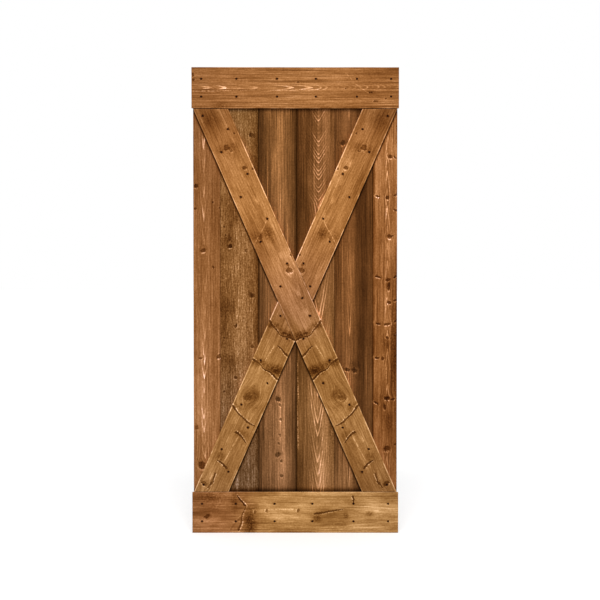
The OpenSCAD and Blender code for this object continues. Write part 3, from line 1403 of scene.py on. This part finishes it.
@dataclass
class Screws:
    """The screws of every board: their finish, and the drill for their holes.

    Attributes:
        nodes: The CAD nodes of the screws.
        finish: Their coating.
        head_radius: Radius of a hole at the face.
        shank_radius: Radius of a hole in the rail or brace.
        root_radius: Radius of a hole in the plank.
        sink: How far a head lies below the face.
        head_height: Height of the head's cone.
        rail_thickness: How far the wider hole goes.
        bite: How far a screw goes into the plank.
        point: Length of its point.
        proud: How far the drill stands out of the face.
        steps: Sides of the drill.
    """

    nodes: tuple[str, ...]
    finish: BlackFinish = BlackFinish()
    head_radius: float = 0.0042
    shank_radius: float = 0.00215
    root_radius: float = 0.00155
    sink: float = 0.0005
    head_height: float = 0.00236
    rail_thickness: float = 0.019
    bite: float = 0.0136
    point: float = 0.007
    proud: float = 0.002
    steps: int = 24

    def places(self) -> list[tuple[float, float]]:
        """Finds the screws from the frame's own.

        Returns:
            The middle of each screw, across the door and up it.
        """
        found = []
        for name in self.nodes:
            left = coordinates(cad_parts[name].data)[:, (0, 2)]
            while len(left):
                mine = np.hypot(*(left - left[0]).T) < 3 * self.head_radius
                middle = (left[mine].min(axis=0) + left[mine].max(axis=0)) / 2
                found.append((float(middle[0]), float(middle[1])))
                left = left[~mine]
        return found

    def cutter(self, front: float) -> bpy.types.Object:
        """The shape of all the holes.

        Args:
            front: Y of the face that the heads lie in.

        Returns:
            The cutting mesh, which is removed after use.
        """
        deep = self.rail_thickness
        outline = [
            (0.0, -self.proud),
            (self.head_radius, -self.proud),
            (self.head_radius, self.sink),
            (self.shank_radius, self.sink + self.head_height),
            (self.shank_radius, deep),
            (self.root_radius, deep),
            (self.root_radius, deep + self.bite - self.point),
            (0.0, deep + self.bite),
        ]
        bm = bmesh.new()
        for across, up in self.places():
            ring = [bm.verts.new((across + r, front + y, up)) for r, y in outline]
            edges = [bm.edges.new(pair) for pair in zip(ring, ring[1:])]
            bmesh.ops.spin(
                bm,
                geom=[*ring, *edges],
                cent=(across, 0.0, up),
                axis=(0.0, 1.0, 0.0),
                angle=math.tau,
                steps=self.steps,
                use_merge=True,
            )
        bmesh.ops.remove_doubles(bm, verts=bm.verts, dist=TINY)
        bmesh.ops.recalc_face_normals(bm, faces=bm.faces)
        return settle(bm, "drill")

    def dress(self) -> None:
        """Gives the frame's own screws their coating."""
        coating = self.finish.material()
        for name in self.nodes:
            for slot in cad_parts[name].material_slots:
                slot.link = "OBJECT"
                slot.material = coating
            LOG.info("%s: black", name)


PLANK_FINISHES = (
    PineFinish(
        name="plank_1_pine",
        slot="plank_1_stain",
        seed=1.3,
        stain=Stain(
            along=(
                (0.0, "8c5e36"), (0.16, "9d6a3e"), (0.32, "ac764b"), (0.5, "9a6538"),
                (0.75, "905d33"), (1.0, "8a5830"),
            ),
            across=((0.0, 1.06), (0.1, 0.95), (0.3, 1.05), (0.6, 0.97), (1.0, 0.97)),
            streak=1.3,
        ),
        figure=Figure(
            heart_across=-0.011, heart_depth=0.002, ring=0.012, taper=-0.11, sway=0.003,
            column=0.009, bright=1.0, plain=0.12, bunch=-0.05, bunch_span=(-0.9, -0.3),
        ),
        knots=(
            Knot(-0.048, 0.529, 0.008, 0.008, core=0.8, halo=0.6, glint=0.6),
            Knot(-0.016, 0.232, 0.009, 0.008, core=0.8, halo=0.5, glint=1.0),
            Knot(0.028, 0.45, 0.003, 0.004),
            Knot(0.058, 0.424, 0.003, 0.003),
            Knot(-0.052, 0.42, 0.006, 0.004, core=0.6),
            Knot(0.03, 0.155, 0.004, 0.005, core=0.6),
            Knot(-0.028, -0.26, 0.007, 0.005, core=0.7, glint=0.6),
            Knot(0.054, -0.253, 0.008, 0.008, glint=0.8),
            Knot(-0.046, -0.58, 0.006, 0.008, core=0.4, halo=0.5),
            Knot(-0.025, -0.754, 0.012, 0.014, core=0.8, halo=0.7, glint=0.3),
            scratch((-0.004, 0.9), (-0.004, 0.4), 0.35),
        ),
    ),
    PineFinish(
        name="plank_2_pine",
        slot="plank_2_stain",
        seed=4.1,
        stain=Stain(
            along=(
                (0.0, "73553b"), (0.2, "7c5a3c"), (0.4, "885a2e"), (0.7, "885a2f"),
                (0.88, "8a5f33"), (1.0, "835c32"),
            ),
            across=(
                (0.0, 0.95), (0.1, 0.98), (0.3, 0.98), (0.5, 1.1), (0.72, 1.1), (0.86, 0.95),
                (0.93, 0.75), (1.0, 0.4),
            ),
            streak=1.0,
            cloud=1.6,
            fleck=2.2,
        ),
        figure=Figure(
            heart_across=-0.01, heart_depth=0.03, taper=-0.02, column=0.012, bright=0.6, plain=0.1,
        ),
        knots=(
            Knot(0.059, 0.755, 0.01, 0.008, halo=0.8, turn=-30.0),
            Knot(-0.043, 0.25, 0.009, 0.008, halo=0.8, glint=1.0),
            smudge(-0.047, 0.275, 0.012, 0.016, 0.55),
            Knot(0.029, 0.231, 0.004, 0.006, glint=0.6),
            Knot(0.056, 0.028, 0.01, 0.009, halo=0.8, turn=-30.0),
            Knot(-0.069, 0.342, 0.003, 0.004),
            Knot(-0.062, 0.3, 0.003, 0.004),
            Knot(-0.017, -0.112, 0.006, 0.006, glint=0.5),
            Knot(-0.017, -0.355, 0.006, 0.006, glint=0.5),
            Knot(-0.069, -0.171, 0.004, 0.004),
            Knot(-0.069, -0.414, 0.004, 0.004),
            Knot(0.058, -0.21, 0.006, 0.006, core=0.6),
            smudge(-0.046, -0.04, 0.026, 0.026, 0.35),
            smudge(-0.036, -0.283, 0.028, 0.03, 0.35),
            scratch((-0.012, 0.26), (-0.012, 0.12), 0.5),
        ),
    ),
    PineFinish(
        name="plank_3_pine",
        slot="plank_3_stain",
        seed=7.7,
        stain=Stain(
            along=(
                (0.0, "7c5536"), (0.25, "8d613c"), (0.45, "845833"), (0.7, "84572f"),
                (1.0, "85572d"),
            ),
            across=(
                (0.0, 0.3), (0.05, 0.5), (0.16, 0.8), (0.28, 1.1), (0.37, 0.95), (0.48, 1.45),
                (0.6, 1.75), (0.7, 1.2), (0.84, 0.8), (0.93, 0.55), (1.0, 0.28),
            ),
            streak=2.0,
            cloud=1.3,
            drain=(1.1, 1.35),
        ),
        figure=Figure(
            heart_across=0.02, heart_depth=0.06, taper=-0.012, bright=0.15, plain=0.15,
        ),
        knots=(
            Knot(0.002, -0.45, 0.009, 0.009, core=0.8, halo=0.8, glint=0.6),
            Knot(0.002, -0.708, 0.009, 0.009, core=0.8, halo=0.8, glint=0.6),
            Knot(0.012, -0.48, 0.005, 0.006, core=0.7),
            Knot(0.015, -0.545, 0.005, 0.006, core=0.8, glint=0.5),
            Knot(0.012, -0.617, 0.005, 0.006, core=0.8),
            Knot(0.006, -0.66, 0.004, 0.005, core=0.6),
            Knot(0.018, -0.735, 0.005, 0.006, core=0.7),
            Knot(0.018, -0.807, 0.005, 0.007, core=0.8, glint=0.5),
            smudge(-0.045, -0.6, 0.02, 0.12, 0.25),
            smudge(-0.055, 0.6, 0.012, 0.2, 0.2),
        ),
    ),
    PineFinish(
        name="plank_4_pine",
        slot="plank_4_stain",
        seed=11.2,
        stain=Stain(
            along=(
                (0.0, "875c38"), (0.25, "95683c"), (0.45, "875a31"), (0.7, "794d27"),
                (1.0, "774b25"),
            ),
            across=(
                (0.0, 0.3), (0.06, 0.5), (0.2, 0.72), (0.35, 0.82), (0.48, 1.0), (0.6, 1.3),
                (0.75, 1.55), (0.88, 1.4), (1.0, 1.0),
            ),
            streak=1.8,
            cloud=1.3,
            drain=(1.15, 1.55),
        ),
        figure=Figure(
            heart_across=0.012, heart_depth=0.005, ring=0.011, taper=-0.18, sway=0.003,
            column=0.029, bright=1.9, plain=0.12, bunch=-0.17, bunch_span=(0.45, 0.88),
        ),
        knots=(
            smudge(0.074, -0.65, 0.014, 0.16, 0.45),
            smudge(-0.03, 0.7, 0.014, 0.12, 0.2),
            scratch((0.036, -0.48), (0.038, -0.85), 0.7),
            scratch((-0.086, -0.46), (-0.086, -0.28), 1.8),
            scratch((-0.086, -0.68), (-0.086, -0.46), 1.5),
        ),
    ),
    PineFinish(
        name="plank_5_pine",
        slot="plank_5_stain",
        seed=15.9,
        stain=Stain(
            along=(
                (0.0, "775230"), (0.2, "764d2a"), (0.4, "6f4522"), (0.6, "6f4420"),
                (0.85, "6f4420"), (1.0, "7a4f2b"),
            ),
            across=(
                (0.0, 0.85), (0.08, 1.0), (0.2, 1.3), (0.34, 1.45), (0.46, 1.4), (0.54, 1.0),
                (0.62, 0.6), (0.75, 0.5), (0.86, 0.75), (0.95, 1.0), (1.0, 0.8),
            ),
            streak=1.6,
            drain=(1.12, 1.4),
        ),
        figure=Figure(
            heart_across=-0.02, heart_depth=0.003, ring=0.007, taper=-0.05, sway=0.003,
            column=0.009, bright=1.0, plain=0.12,
        ),
        knots=(
            Knot(-0.049, 0.722, 0.01, 0.009, halo=0.8, glint=0.8),
            Knot(-0.03, -0.315, 0.01, 0.007, halo=0.6, glint=1.0),
            Knot(0.003, -0.319, 0.011, 0.008, halo=0.9, glint=0.8),
            smudge(0.004, -0.3, 0.012, 0.016, 0.5),
            scratch((-0.045, 0.3), (-0.045, -0.2), 0.4),
        ),
    ),
    PineFinish(
        name="plank_6_pine",
        slot="plank_6_stain",
        seed=19.4,
        stain=Stain(
            along=(
                (0.0, "7f5029"), (0.2, "855229"), (0.4, "8c5729"), (0.55, "a06739"),
                (0.8, "b07543"), (1.0, "9c6534"),
            ),
            across=((0.0, 0.25), (0.06, 0.8), (0.14, 1.12), (0.5, 1.08), (0.75, 1.0), (1.0, 0.85)),
            streak=1.8,
            cloud=1.5,
        ),
        figure=Figure(
            heart_across=0.013, heart_depth=0.003, ring=0.009, taper=0.11, sway=0.003,
            column=0.009, bright=1.2, plain=0.12,
        ),
        knots=(
            Knot(0.024, 0.663, 0.008, 0.007, halo=0.8, glint=1.0),
            Knot(0.045, 0.66, 0.007, 0.004, core=0.8, turn=-40.0, glint=0.8),
            Knot(-0.035, 0.48, 0.008, 0.004, core=1.0, glint=1.2),
            Knot(0.011, 0.473, 0.006, 0.008, glint=1.0),
            Knot(0.05, 0.488, 0.01, 0.004, core=1.0, halo=0.7, turn=40.0, glint=1.2),
            Knot(0.048, 0.414, 0.009, 0.004, core=0.8, turn=-35.0, glint=0.8),
            Knot(0.02, 0.293, 0.008, 0.008, halo=0.9, glint=1.0),
            Knot(0.034, 0.296, 0.006, 0.003, core=1.0, halo=0.6, turn=30.0, glint=0.6),
            Knot(-0.031, 0.108, 0.011, 0.004, core=1.0, halo=0.8, turn=-20.0, glint=1.2),
            Knot(0.05, 0.11, 0.01, 0.004, core=1.0, halo=0.8, turn=35.0, glint=1.1),
            Knot(0.014, 0.095, 0.009, 0.006, core=0.9, halo=0.8, glint=0.5),
            Knot(0.017, 0.068, 0.006, 0.015, halo=0.9, glint=0.6),
            Knot(0.02, -0.008, 0.008, 0.006, core=1.0, halo=0.8, glint=0.8),
            Knot(0.048, 0.003, 0.009, 0.004, core=1.0, halo=0.8, turn=35.0, glint=0.8),
            Knot(-0.029, -0.103, 0.01, 0.004, core=1.0, halo=0.7, turn=-15.0, glint=1.2),
            Knot(0.011, -0.105, 0.012, 0.005, core=1.0, halo=0.9, glint=0.9),
            Knot(0.05, -0.091, 0.009, 0.004, core=1.0, halo=0.8, turn=30.0, glint=0.8),
            Knot(0.011, -0.171, 0.006, 0.006, halo=0.8),
            Knot(0.05, -0.158, 0.008, 0.004, core=1.0, halo=0.6, turn=30.0, glint=0.5),
            Knot(-0.035, -0.26, 0.009, 0.004, core=1.0, turn=-15.0, glint=1.2),
            Knot(-0.009, -0.263, 0.006, 0.006, halo=0.8),
            Knot(0.05, -0.25, 0.008, 0.004, core=1.0, halo=0.6, turn=30.0, glint=0.5),
            Knot(0.011, -0.446, 0.012, 0.007, core=1.0, halo=1.0, glint=1.0),
            Knot(0.038, -0.45, 0.01, 0.004, core=1.0, halo=0.8, turn=25.0, glint=0.7),
            Knot(-0.039, -0.469, 0.009, 0.004, core=1.0, turn=-15.0, glint=1.2),
            Knot(0.0, -0.49, 0.005, 0.01, core=0.9, halo=0.8),
            Knot(0.011, -0.682, 0.01, 0.01, core=0.9, halo=0.9, glint=0.8),
            Knot(0.05, -0.663, 0.007, 0.004, turn=30.0, glint=0.5),
            smudge(0.043, -0.28, 0.011, 0.19, 0.6),
            smudge(0.01, -0.2, 0.012, 0.03, 0.5),
            smudge(0.015, -0.56, 0.012, 0.04, 0.4),
            scratch((0.013, 0.46), (0.014, 0.31), 0.8),
            scratch((0.013, -0.3), (0.012, -0.42), 0.8),
        ),
    ),
)

TOP_RAIL_FINISH = PineFinish(
    name="top_rail_pine",
    slot="rail_stain",
    seed=23.6,
    stain=Stain(
        along=(
            (0.0, "9a6538"), (0.15, "a46c3d"), (0.5, "a9713f"), (0.85, "a46b3a"), (1.0, "9e6737")
        ),
        across=(
            (0.0, 0.82), (0.05, 0.96), (0.3, 1.0), (0.5, 1.0), (0.62, 0.97), (0.7, 0.88),
            (0.78, 1.1), (0.91, 1.06), (0.96, 0.82), (1.0, 0.85),
        ),
        wear_and_highlight=(0.1, 0.55),
        streak=1.5,
        cloud=0.8,
        fleck=0.9,
    ),
    figure=Figure(
        heart_across=-0.002, heart_depth=0.003, ring=0.0035, taper=0.045, sway=0.004,
        column=0.011, bright=1.3, plain=0.14, bunch=0.03, bunch_span=(0.1, 0.45),
    ),
    knots=(
        Knot(-0.06, -0.466, 0.007, 0.004),
        Knot(-0.036, -0.464, 0.005, 0.005),
        Knot(-0.025, 0.015, 0.002, 0.006, halo=0.2),
        Knot(0.004, 0.23, 0.002, 0.004, halo=0.2),
        Knot(0.022, 0.348, 0.003, 0.007),
        Knot(0.061, 0.369, 0.003, 0.009, halo=0.6),
        Knot(0.05, 0.41, 0.003, 0.004),
        smudge(0.084, -0.351, 0.01, 0.03, 0.4),
        scratch((-0.07, 0.238), (-0.03, 0.264), 0.6),
        scratch((-0.03, 0.264), (0.025, 0.343), 0.6),
        spike((0.009, -0.469), (0.008, -0.17), core=0.3, halo=0.1, glint=0.5),
        scratch((0.004, -0.1), (0.004, 0.14), 0.7),
        smudge(-0.055, 0.3, 0.02, 0.05, 0.15),
    ),
)

BOTTOM_RAIL_FINISH = PineFinish(
    name="bottom_rail_pine",
    slot="rail_stain",
    seed=28.8,
    stain=Stain(
        along=(
            (0.0, "96633a"), (0.1, "a0693e"), (0.2, "a06b3f"), (0.27, "a77443"), (0.34, "ae7d48"),
            (0.6, "b1814b"), (0.85, "bb8c58"), (1.0, "ba8b57"),
        ),
        across=(
            (0.0, 1.02), (0.1, 1.05), (0.35, 1.06), (0.42, 0.94), (0.6, 0.98), (0.8, 0.92),
            (1.0, 0.86),
        ),
        wear_and_highlight=(0.2, 0.0),
        streak=0.8,
        cloud=2.6,
        fleck=0.8,
    ),
    figure=Figure(
        heart_across=0.02, heart_depth=0.06, ring=0.007, taper=0.02, sway=0.02, column=0.05,
        bright=0.35, plain=0.2,
    ),
    knots=(
        spike((-0.029, -0.23), (-0.081, -0.266), core=1.1, halo=0.6, glint=0.9),
        spike((0.082, -0.26), (-0.029, -0.23), core=0.6, halo=0.4, glint=1.0),
        smudge(0.052, -0.213, 0.032, 0.018, 1.1),
        smudge(-0.055, -0.285, 0.03, 0.014, 0.4),
        smudge(-0.07, -0.4, 0.012, 0.05, 0.6),
        spike((0.02, -0.25), (0.08, -0.3), core=0.2, halo=0.2, glint=0.3),
        Knot(0.017, -0.404, 0.006, 0.014, core=0.7, halo=0.7, turn=35.0),
        smudge(-0.048, -0.384, 0.02, 0.05, 0.35),
        Knot(-0.003, -0.188, 0.007, 0.005, core=0.6, halo=0.5, glint=0.8),
        Knot(-0.009, -0.129, 0.006, 0.005, core=0.6, halo=0.5, glint=0.8),
        Knot(-0.009, 0.015, 0.007, 0.006, core=0.6, halo=0.5, glint=0.6),
        smudge(-0.02, -0.19, 0.01, 0.012, 0.35),
        scratch((-0.019, -0.16), (-0.019, 0.015), 0.6),
        spike((0.007, 0.091), (-0.016, 0.218), core=0.8, halo=0.4, glint=0.6),
        smudge(0.024, 0.094, 0.012, 0.014, 0.6),
        smudge(0.017, 0.231, 0.008, 0.01, 0.6),
        smudge(0.004, 0.343, 0.006, 0.012, 0.5),
        smudge(0.06, 0.17, 0.012, 0.05, 0.25),
        smudge(0.06, 0.0, 0.012, 0.04, 0.2),
        spike((-0.078, 0.264), (-0.042, 0.266), core=1.0, halo=0.5, glint=0.5),
    ),
)


def brace_finish(name: str, seed: float) -> PineFinish:
    """The wood of a brace, laid out for the full length from corner to corner.

    Args:
        name: The finish's name.
        seed: Sets the fine grain, which differs from brace to brace.

    Returns:
        The finish.
    """
    return PineFinish(
        name=name,
        slot="brace_stain",
        seed=seed,
        stain=Stain(
            along=(
                (0.0, "93663a"), (0.1, "9b6b3a"), (0.25, "a3723f"), (0.38, "a7753f"),
                (0.47, "a26e47"), (0.56, "ad7548"), (0.7, "b1773f"), (0.85, "ae7540"),
                (0.94, "a26938"), (1.0, "8e5c30"),
            ),
            across=((0.0, 0.93), (0.1, 0.97), (0.6, 1.0), (0.72, 1.1), (0.9, 1.07), (1.0, 1.03)),
            wear_and_highlight=(0.75, 0.9),
            streak=0.85,
            cloud=1.4,
            fleck=0.9,
        ),
        figure=Figure(
            heart_across=0.026, heart_depth=0.003, ring=0.012, taper=-0.13, sway=0.003,
            column=0.008, bright=0.4, plain=0.1,
        ),
        knots=(
            Knot(-0.003, 0.765, 0.011, 0.012, core=0.8, halo=0.6, glint=0.5),
            Knot(0.008, 0.75, 0.005, 0.012, core=0.7, halo=0.4, turn=20.0),
            smudge(0.018, 0.755, 0.014, 0.016, 0.5),
            smudge(-0.03, 0.762, 0.012, 0.014, 0.45),
            Knot(0.034, 0.653, 0.008, 0.008, core=0.8, glint=0.5),
            Knot(0.066, 0.633, 0.004, 0.005),
            Knot(0.053, 0.815, 0.003, 0.004),
            scratch((0.031, 0.382), (-0.015, 0.35), 0.9),
            spike((-0.015, 0.35), (-0.062, 0.308), core=0.15, halo=0.3, glint=1.0),
            smudge(0.012, 0.325, 0.012, 0.024, 0.6),
            Knot(-0.026, 0.339, 0.008, 0.014, core=0.45, halo=0.5, turn=-35.0),
            smudge(-0.05, 0.34, 0.014, 0.02, 0.35),
            Knot(0.032, 0.138, 0.011, 0.01, core=0.75, halo=0.6, glint=0.5),
            Knot(0.036, 0.165, 0.005, 0.006, core=0.6),
            Knot(0.066, 0.205, 0.004, 0.005),
            smudge(-0.021, 0.9, 0.02, 0.03, 0.35),
            scratch((0.045, 0.83), (0.05, 0.25), 0.4),
            spike((-0.07, -0.165), (0.007, -0.169), core=1.0, halo=0.8, glint=0.8),
            spike((0.075, -0.126), (0.007, -0.169), core=1.0, halo=0.7, glint=0.8),
            smudge(-0.035, -0.158, 0.026, 0.012, 1.1),
            smudge(0.045, -0.145, 0.016, 0.01, 0.9),
            spike((-0.072, -0.243), (-0.01, -0.222), core=0.9, halo=0.6, glint=0.6),
            scratch((0.012, -0.221), (0.019, -0.303), 1.0),
            spike((-0.072, -0.359), (0.018, -0.338), core=1.1, halo=0.9, glint=0.9),
            spike((0.073, -0.317), (0.018, -0.338), core=1.0, halo=0.8, glint=0.8),
            smudge(-0.045, -0.333, 0.028, 0.016, 1.2),
            smudge(0.035, -0.33, 0.022, 0.014, 0.8),
            Knot(0.004, -0.478, 0.022, 0.022, core=0.35, halo=0.6, glint=0.0),
            Knot(0.02, -0.49, 0.014, 0.016, core=0.6, halo=0.6),
            Knot(0.014, -0.448, 0.006, 0.016, core=0.3, halo=0.3, glint=0.8),
            smudge(0.0, -0.52, 0.03, 0.022, 0.3),
            spike((0.073, -0.556), (0.001, -0.588), core=1.0, halo=0.7, glint=0.8),
            spike((0.001, -0.588), (-0.06, -0.603), core=0.9, halo=0.5, glint=0.6),
            smudge(0.05, -0.55, 0.02, 0.01, 0.4),
            spike((0.01, -0.657), (-0.056, -0.685), core=1.0, halo=0.7, glint=0.8),
            smudge(-0.03, -0.66, 0.02, 0.012, 0.35),
            spike((-0.02, -0.83), (0.035, -0.811), core=1.0, halo=0.9, glint=0.8),
            smudge(0.03, -0.8, 0.012, 0.016, 0.5),
            spike((0.018, -0.87), (0.012, -0.91), core=0.7, halo=0.4, glint=0.9),
            spike((0.012, -0.91), (0.024, -0.95), core=0.7, halo=0.4, glint=0.9),
            Knot(0.045, -0.935, 0.014, 0.007, core=0.8, halo=0.6, glint=0.5, turn=30.0),
            scratch((-0.004, -0.665), (0.006, -0.82), 0.8),
        ),
    )


@dataclass
class Panel:
    """The six upright planks."""

    shaded_corners: tuple[ShadedCorner, ...]
    finishes: tuple[PineFinish, ...] = PLANK_FINISHES

    def boards(self) -> list[Board]:
        """Lays out the planks.

        Returns:
            The planks, from left to right, sized from the frame.
        """
        made = []
        last = len(self.finishes) - 1
        for i, finish in enumerate(self.finishes):
            node = f"plank_{i + 1}"
            low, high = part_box(node)
            left = low.x + (TONGUE_LENGTH if i else 0.0)
            middle = ((left + high.x) / 2, (low.z + high.z) / 2)
            half = (high.z - low.z) / 2
            made.append(
                Board(
                    node=node,
                    lay=Lay(Lie.UPRIGHT, middle),
                    width=high.x - left,
                    front=low.y,
                    back=high.y,
                    ends=Ends(-half, half),
                    finish=finish,
                    tongue=i > 0,
                    groove=i < last,
                    shaded_corners=self.shaded_corners,
                )
            )
        return made


@dataclass
class Rails:
    """The rail across each end of the door."""

    finishes: tuple[tuple[str, PineFinish, float], ...] = (
        ("top_rail", TOP_RAIL_FINISH, 0.0018),
        ("bottom_rail", BOTTOM_RAIL_FINISH, 0.0009),
    )

    def boards(self) -> list[Board]:
        """Lays out the rails.

        Returns:
            The top rail and the bottom one, sized from the frame.
        """
        made = []
        for node, finish, wear in self.finishes:
            low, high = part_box(node)
            middle = ((low.x + high.x) / 2, (low.z + high.z) / 2)
            half = (high.x - low.x) / 2
            made.append(
                Board(
                    node=node,
                    lay=Lay(Lie.LEVEL, middle),
                    width=high.z - low.z,
                    front=low.y,
                    back=high.y,
                    ends=Ends(-half, half),
                    finish=finish,
                    edge_wear=wear,
                )
            )
        return made


@dataclass
class Braces:
    """The X: one board from corner to corner, and two short ones that stop against it.

    Attributes:
        width: Width of each brace.
        gap: The gap where a short brace meets the long one.
    """

    width: float = BRACE_WIDTH
    gap: float = BRACE_GAP

    def boards(self) -> list[Board]:
        """Lays out the braces.

        Returns:
            The long brace and the two short ones, with their slope worked out
            from the frame.
        """
        low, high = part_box("long_brace")
        wide, tall = high.x - low.x, high.z - low.z
        slope = math.acos(self.width / math.hypot(wide, tall)) - math.atan2(tall, wide)
        middle = ((low.x + high.x) / 2, (low.z + high.z) / 2)
        half = tall / 2 / math.cos(slope)
        rise = -math.tan(slope)
        meet = (self.width / 2 + self.gap) / math.sin(2 * slope)
        meet_rise = 1 / math.tan(2 * slope)
        kinds = (
            ("long_brace", Lie.FALLS_RIGHT, Ends(-half, half, rise, rise), 31.5),
            ("upper_short_brace", Lie.FALLS_LEFT, Ends(meet, half, meet_rise, rise), 36.5),
            ("lower_short_brace", Lie.FALLS_LEFT, Ends(-half, -meet, rise, meet_rise), 41.5),
        )
        return [
            Board(
                node=node,
                lay=Lay(lie, middle, slope),
                width=self.width,
                front=low.y,
                back=high.y,
                ends=ends,
                finish=brace_finish(node + "_pine", seed),
            )
            for node, lie, ends, seed in kinds
        ]


@dataclass(frozen=True)
class PaintedCornerShade:
    """Painted shade on the planks, in the corners against the rails and braces.

    Attributes:
        braces: A brace for each way that they slope.
        above_bottom_rail: How far the painted shade spreads above the bottom rail.
        under_brace: How far the painted shade spreads under the braces.
        under_top_rail: How far the painted shade spreads under the top rail.
    """

    braces: tuple[Lay, ...]
    above_bottom_rail: float = 0.014
    under_brace: float = 0.0055
    under_top_rail: float = 0.003

    def shaded_corners(self) -> tuple[ShadedCorner, ...]:
        """The painted shade, in the corners that face down and above the bottom rail.

        Returns:
            A pool for each rail and for each way that the braces slope.
        """
        top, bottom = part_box("top_rail")[0].z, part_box("bottom_rail")[1].z
        made = [
            ShadedCorner(0.0, (0.0, bottom), self.above_bottom_rail),
            ShadedCorner(math.pi, (0.0, top), self.under_top_rail),
        ]
        for lay in self.braces:
            corner = lay.matrix() @ Vector((-BRACE_WIDTH / 2, 0.0, 0.0))
            slope = lay.hand * (math.pi / 2 + lay.slope)
            made.append(ShadedCorner(slope, (corner.x, corner.z), self.under_brace))
        return tuple(made)


@dataclass
class Studio:
    """A pale floor, soft light from above, and the camera.

    Attributes:
        view_width: Width of the view at the door.
        view_shift: How far the view's middle lies to the right of the door's.
        view_rise: How far the view's middle lies above the door's.
        distance: From the camera to the door's front.
        tilt: How far the camera looks down, in degrees.
        sensor: The camera's sensor width, in millimetres.
        spread: Apparent size of the lights in degrees, which softens shadows.
        glow: Strength of the light from all round.
        floor_size: Half the floor's width.
    """

    view_width: float = 2.746
    view_shift: float = 0.0218
    view_rise: float = 0.005
    distance: float = 9.0
    tilt: float = 2.4
    sensor: float = 36.0
    spread: float = 30.0
    glow: float = 0.5
    floor_size: float = 30.0

    def build(self) -> None:
        """Sets up the floor, the lights, the background and the camera."""
        self._floor()
        self._sun("key", height=38.0, azimuth=0.0, power=2.1, shadow=True)
        self._sun("back_fill", height=45.0, azimuth=180.0, power=1.4, shadow=False)
        self._background()
        self._camera()
        bpy.context.scene.view_settings.view_transform = "Standard"

    def _floor(self) -> None:
        """Lays the floor, which doesn't throw its light back on the door."""
        bm = bmesh.new()
        bmesh.ops.create_grid(bm, x_segments=4, y_segments=4, size=self.floor_size)
        floor = settle(bm, "floor")
        paint, _, shader = new_material("floor_paint")
        shader.inputs["Base Color"].default_value = PALE_GREY
        shader.inputs["Roughness"].default_value = 0.9
        shader.inputs["Specular IOR Level"].default_value = 0.1
        floor.data.materials.append(paint)
        floor.visible_diffuse = False
        floor.visible_glossy = False

    def _sun(self, name: str, height: float, azimuth: float, power: float, shadow: bool) -> None:
        """Adds a broad light.

        Args:
            name: The light's name.
            height: Degrees above the horizon.
            azimuth: Degrees round from the front.
            power: Strength.
            shadow: Whether it casts shadows.
        """
        light = bpy.data.lights.new(name, "SUN")
        light.energy = power
        light.angle = math.radians(self.spread)
        light.use_shadow = shadow
        made = bpy.data.objects.new(name, light)
        made.rotation_euler = (math.radians(90.0 - height), 0.0, math.radians(azimuth))
        bpy.context.scene.collection.objects.link(made)

    def _background(self) -> None:
        """White behind the door, with a softer glow lighting it from all round."""
        world = bpy.data.worlds.new("studio")
        world.use_nodes = True
        bpy.context.scene.world = world
        w = Wiring(world.node_tree)
        glow = world.node_tree.nodes["Background"]
        glow.inputs["Color"].default_value = WHITE
        glow.inputs["Strength"].default_value = self.glow
        white = w.node("ShaderNodeBackground")
        white.inputs["Color"].default_value = WHITE
        seen = w.node("ShaderNodeMixShader")
        w.feed(seen.inputs[0], w.node("ShaderNodeLightPath").outputs["Is Camera Ray"])
        w.feed(seen.inputs[1], glow.outputs[0])
        w.feed(seen.inputs[2], white.outputs[0])
        w.feed(world.node_tree.nodes["World Output"].inputs["Surface"], seen.outputs[0])

    def _camera(self) -> None:
        """Looks at the door from the front, a little above its middle."""
        low, high = CAD_BOX
        data = bpy.data.cameras.new("camera")
        data.sensor_width = self.sensor
        data.lens = self.sensor * self.distance / self.view_width
        data.clip_end = 100.0
        camera = bpy.data.objects.new("camera", data)
        tilt = math.radians(self.tilt)
        aim = Vector((self.view_shift, low.y, (low.z + high.z) / 2 + self.view_rise))
        camera.location = aim + self.distance * Vector((0.0, -math.cos(tilt), math.sin(tilt)))
        camera.rotation_euler = (math.pi / 2 - tilt, 0.0, 0.0)
        bpy.context.scene.collection.objects.link(camera)
        bpy.context.scene.camera = camera


def main() -> None:
    """Builds the door's boards and screws in the studio."""
    logging.basicConfig(level=logging.INFO, format="%(message)s")
    Studio().build()
    braces = Braces().boards()
    shaded_corners = PaintedCornerShade(tuple(board.lay for board in braces)).shaded_corners()
    boards = [*Panel(shaded_corners).boards(), *Rails().boards(), *braces]
    screws = Screws(tuple(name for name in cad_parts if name.endswith("screws")))
    cutter = screws.cutter(CAD_BOX[0].y)
    places = np.array(screws.places())
    for board in boards:
        board.build()
        board.drill(cutter)
        board.dress(places)
    bpy.data.objects.remove(cutter)
    screws.dress()


if __name__ == "__main__":
    main()
